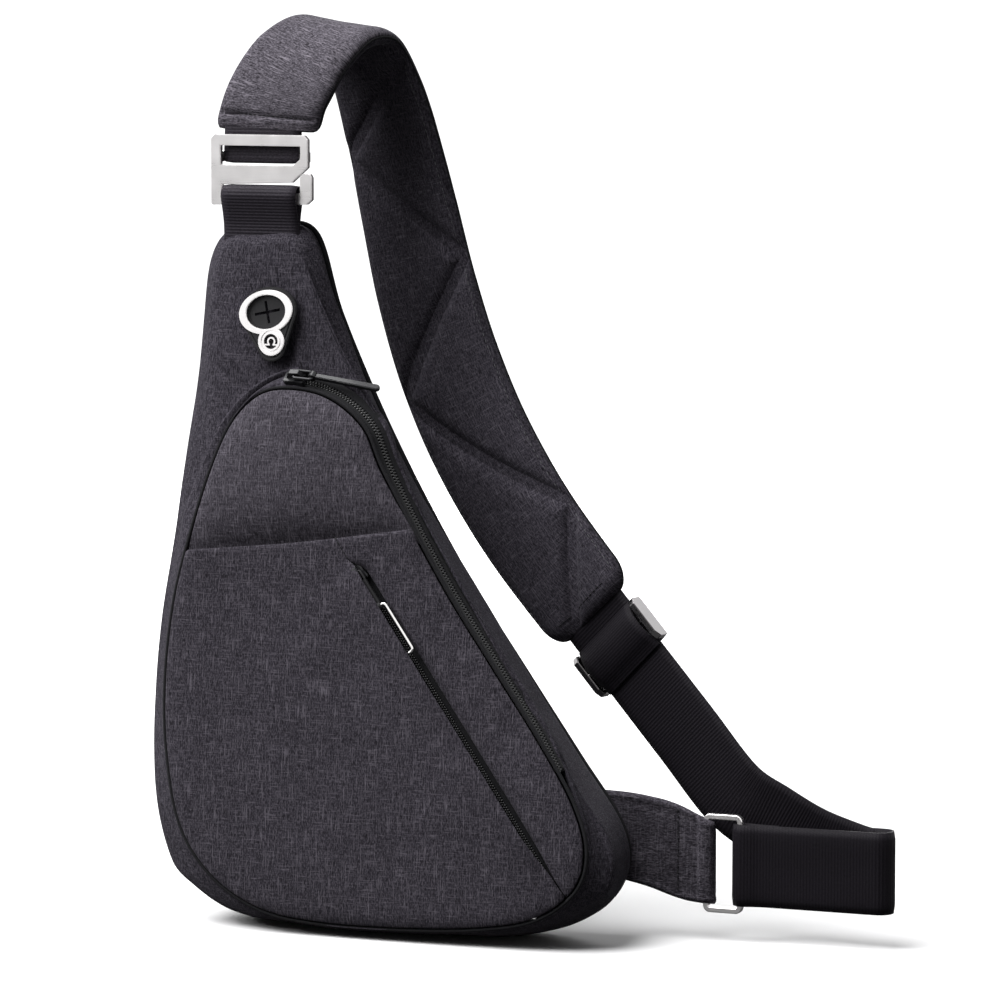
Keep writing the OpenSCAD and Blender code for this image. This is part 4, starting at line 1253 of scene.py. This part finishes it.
def wing_ring(x, thick, n_up=27):
    """Closed section of the wing at x: two faces that meet in piped edges."""
    top, low, mid = (soft_interp(x, t) for t in (WING_TOP, WING_LOW, WING_MID))
    t = np.linspace(0, 1, n_up)
    z = low + (top - low) * (0.5 - 0.5 * np.cos(math.pi * t)) * 0.5 + (top - low) * t * 0.5
    d = np.minimum(z - low, top - z)
    cord = groove(d - 1.7, 1.5) * 0.75
    body_h = thick / 2 * quarter(d + 0.1, 5)
    seam_line = 0.45 * groove(x - WING_SEAM_X, 0.9) * smooth((d - 1.0) / 2)
    half = 0.25 + body_h * 0.85 + cord * quarter(d + 0.05, 1.4) - seam_line
    half = half - 0.4 * groove(d - 4.0, 0.8)
    front = np.column_stack([np.full(n_up, x), mid - half, z])
    rear = np.column_stack([np.full(n_up, x), mid + half, z])[::-1]
    return np.vstack([front, rear[1:-1]])


wing_rings, wing_marks = [], []
for x in np.r_[np.arange(84, 135.5, 0.9), np.linspace(135.5, 143.6, 14)]:
    thick = 3.0 + 1.2 * math.exp(-((x - 104) / 14) ** 2)
    if x > 131:
        r = 4.3
        eye = math.sqrt(max(r * r - (x - WING_X) ** 2, 0.02)) if abs(x - WING_X) < r else 0
        thick = max(thick * (1 - smooth((x - 135) / 9)), 2 * eye)
    ring = wing_ring(x, thick)
    wing_rings.append(ring)
    wing_marks.append(np.column_stack([ring[:, 2], ring[:, 1], ring[:, 0]]))
wing_pts = np.concatenate(wing_rings)
q = wing_pts.copy()
wing_pts[:, 1] += 0.5 * wrinkle(q, 17, 21) * smooth((136 - q[:, 0]) / 6)
k = len(wing_rings[0])
wing_rings = [wing_pts[i * k:(i + 1) * k] for i in range(len(wing_rings))]
# The wing takes the lit heather copy: lighter colour painted over the shadow the body throws on it
wing = loft("wing_tab", wing_rings, HEATHER_PAINTED_LIT, np.concatenate(wing_marks))
belongs(wing, None, ["wing_root", "wing_tip"])
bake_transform(wing)

z_row = np.linspace(20, 60, 40)
wing_low, wing_top, wing_mid = (soft_interp(WING_SEAM_X, t) for t in (WING_LOW, WING_TOP, WING_MID))
z_row = z_row[(z_row > wing_low + 2.5) & (z_row < wing_top - 2.5)]
wing_front = np.column_stack([np.full(len(z_row), WING_SEAM_X),
                              np.full(len(z_row), wing_mid - 1.62), z_row])
stitches("wing_stitches", [(wing_front, np.tile([0, -1, 0], (len(z_row), 1)))], THREAD,
         "strap", 2.6, 2.0, 0.26)

# ---------------------------------------------------------------- CAD pieces and their finishes

for node, material in {
        "g_hook": NICKEL, "hook_cross_bar": NICKEL, "rectangular_ring": NICKEL,
        "adjuster_frame": CHROME_PAINTED_DARK, "adjuster_bar": CHROME_PAINTED_DARK, "port_ring": NICKEL,
        "main_pull_link": BLACK_METAL, "main_zip_slider": BLACK_METAL, "main_zip_pull": BLACK_METAL,
        "pocket_zip_slider": BLACK_METAL, "pocket_pull_wire": NICKEL_WIRE,
        "pocket_pull_tape": RUBBER, "earphone_port": RUBBER, "port_membrane": RUBBER,
        "base_stiffener": BOARD}.items():
    ob = cad[node]
    if not ob.material_slots:
        ob.data.materials.append(material)
    for slot in ob.material_slots:
        slot.material = material
    ob.data.polygons.foreach_set("use_smooth", [False] * len(ob.data.polygons))

# ---------------------------------------------------------------- floor, light and camera

floor_me = bpy.data.meshes.new("floor")
R = 60.0
floor_me.from_pydata([(-R, -R, 0), (R, -R, 0), (R, R, 0), (-R, R, 0)], [], [(0, 1, 2, 3)])
floor = bpy.data.objects.new("floor", floor_me)
floor.location.z = min(0.0, cad_low[2]) - 0.0002
scene.collection.objects.link(floor)
paper = Nodes("studio_paper")
seen = paper.add("LightPath").outputs["Is Camera Ray"]
paper.set(Base_Color=paper.mix(seen, (0.08, 0.08, 0.08), (0.97, 0.97, 0.975)), Roughness=0.9,
          Specular_IOR_Level=0.0)
floor_me.materials.append(paper.material)

world = bpy.data.worlds.new("studio")
scene.world = world
world.use_nodes = True
sky = world.node_tree.nodes["Background"]
sky.inputs["Color"].default_value = (1, 1, 1, 1)
new_node, join = world.node_tree.nodes.new, world.node_tree.links.new
rays = new_node("ShaderNodeLightPath").outputs
level = new_node("ShaderNodeMapRange")
level.inputs["To Min"].default_value = 0.085
level.inputs["To Max"].default_value = 1.0
shine = new_node("ShaderNodeMath")
shine.operation = "MULTIPLY_ADD"
shine.inputs[1].default_value = 1.3
join(rays["Is Camera Ray"], level.inputs["Value"])
join(rays["Is Glossy Ray"], shine.inputs[0])
join(level.outputs["Result"], shine.inputs[2])
join(shine.outputs[0], sky.inputs["Strength"])


def sun(name, direction, strength, spread):
    data = bpy.data.lights.new(name, "SUN")
    data.energy = strength
    data.angle = math.radians(spread)
    ob = bpy.data.objects.new(name, data)
    ob.rotation_mode = "QUATERNION"
    ob.rotation_quaternion = Vector(direction).to_track_quat("-Z", "Y")
    scene.collection.objects.link(ob)


def softbox(name, place, size, power, target=(0.03, 0.03, 0.2)):
    data = bpy.data.lights.new(name, "AREA")
    data.energy = power
    data.shape = "RECTANGLE"
    data.size, data.size_y = size
    ob = bpy.data.objects.new(name, data)
    ob.location = place
    ob.rotation_mode = "QUATERNION"
    ob.rotation_quaternion = (Vector(target) - Vector(place)).to_track_quat("-Z", "Y")
    scene.collection.objects.link(ob)


sun("overhead", (0.38, 0.36, -1.0), 4.5, 50)
softbox("key", (-0.95, -1.0, 1.0), (0.7, 0.7), 11.0, (-0.05, 0.0, 0.28))
softbox("rim", (1.7, 1.0, 1.1), (0.7, 1.4), 0.8)
softbox("back", (-0.7, 1.9, 0.9), (1.2, 1.2), 22, (0.0, 0.05, 0.2))

camera_data = bpy.data.cameras.new("camera")
camera = bpy.data.objects.new("camera", camera_data)
scene.collection.objects.link(camera)
camera_data.sensor_width = 36
camera_data.lens = 193.13
camera_data.clip_start, camera_data.clip_end = 0.1, 200
camera.location = (0.9667, -2.2683, 0.4611)
camera.rotation_mode = "QUATERNION"
camera.rotation_quaternion = (Vector((0.0353, 0.0369, 0.1997))
                              - camera.location).to_track_quat("-Z", "Y")
scene.camera = camera
scene.view_settings.view_transform = "Standard"
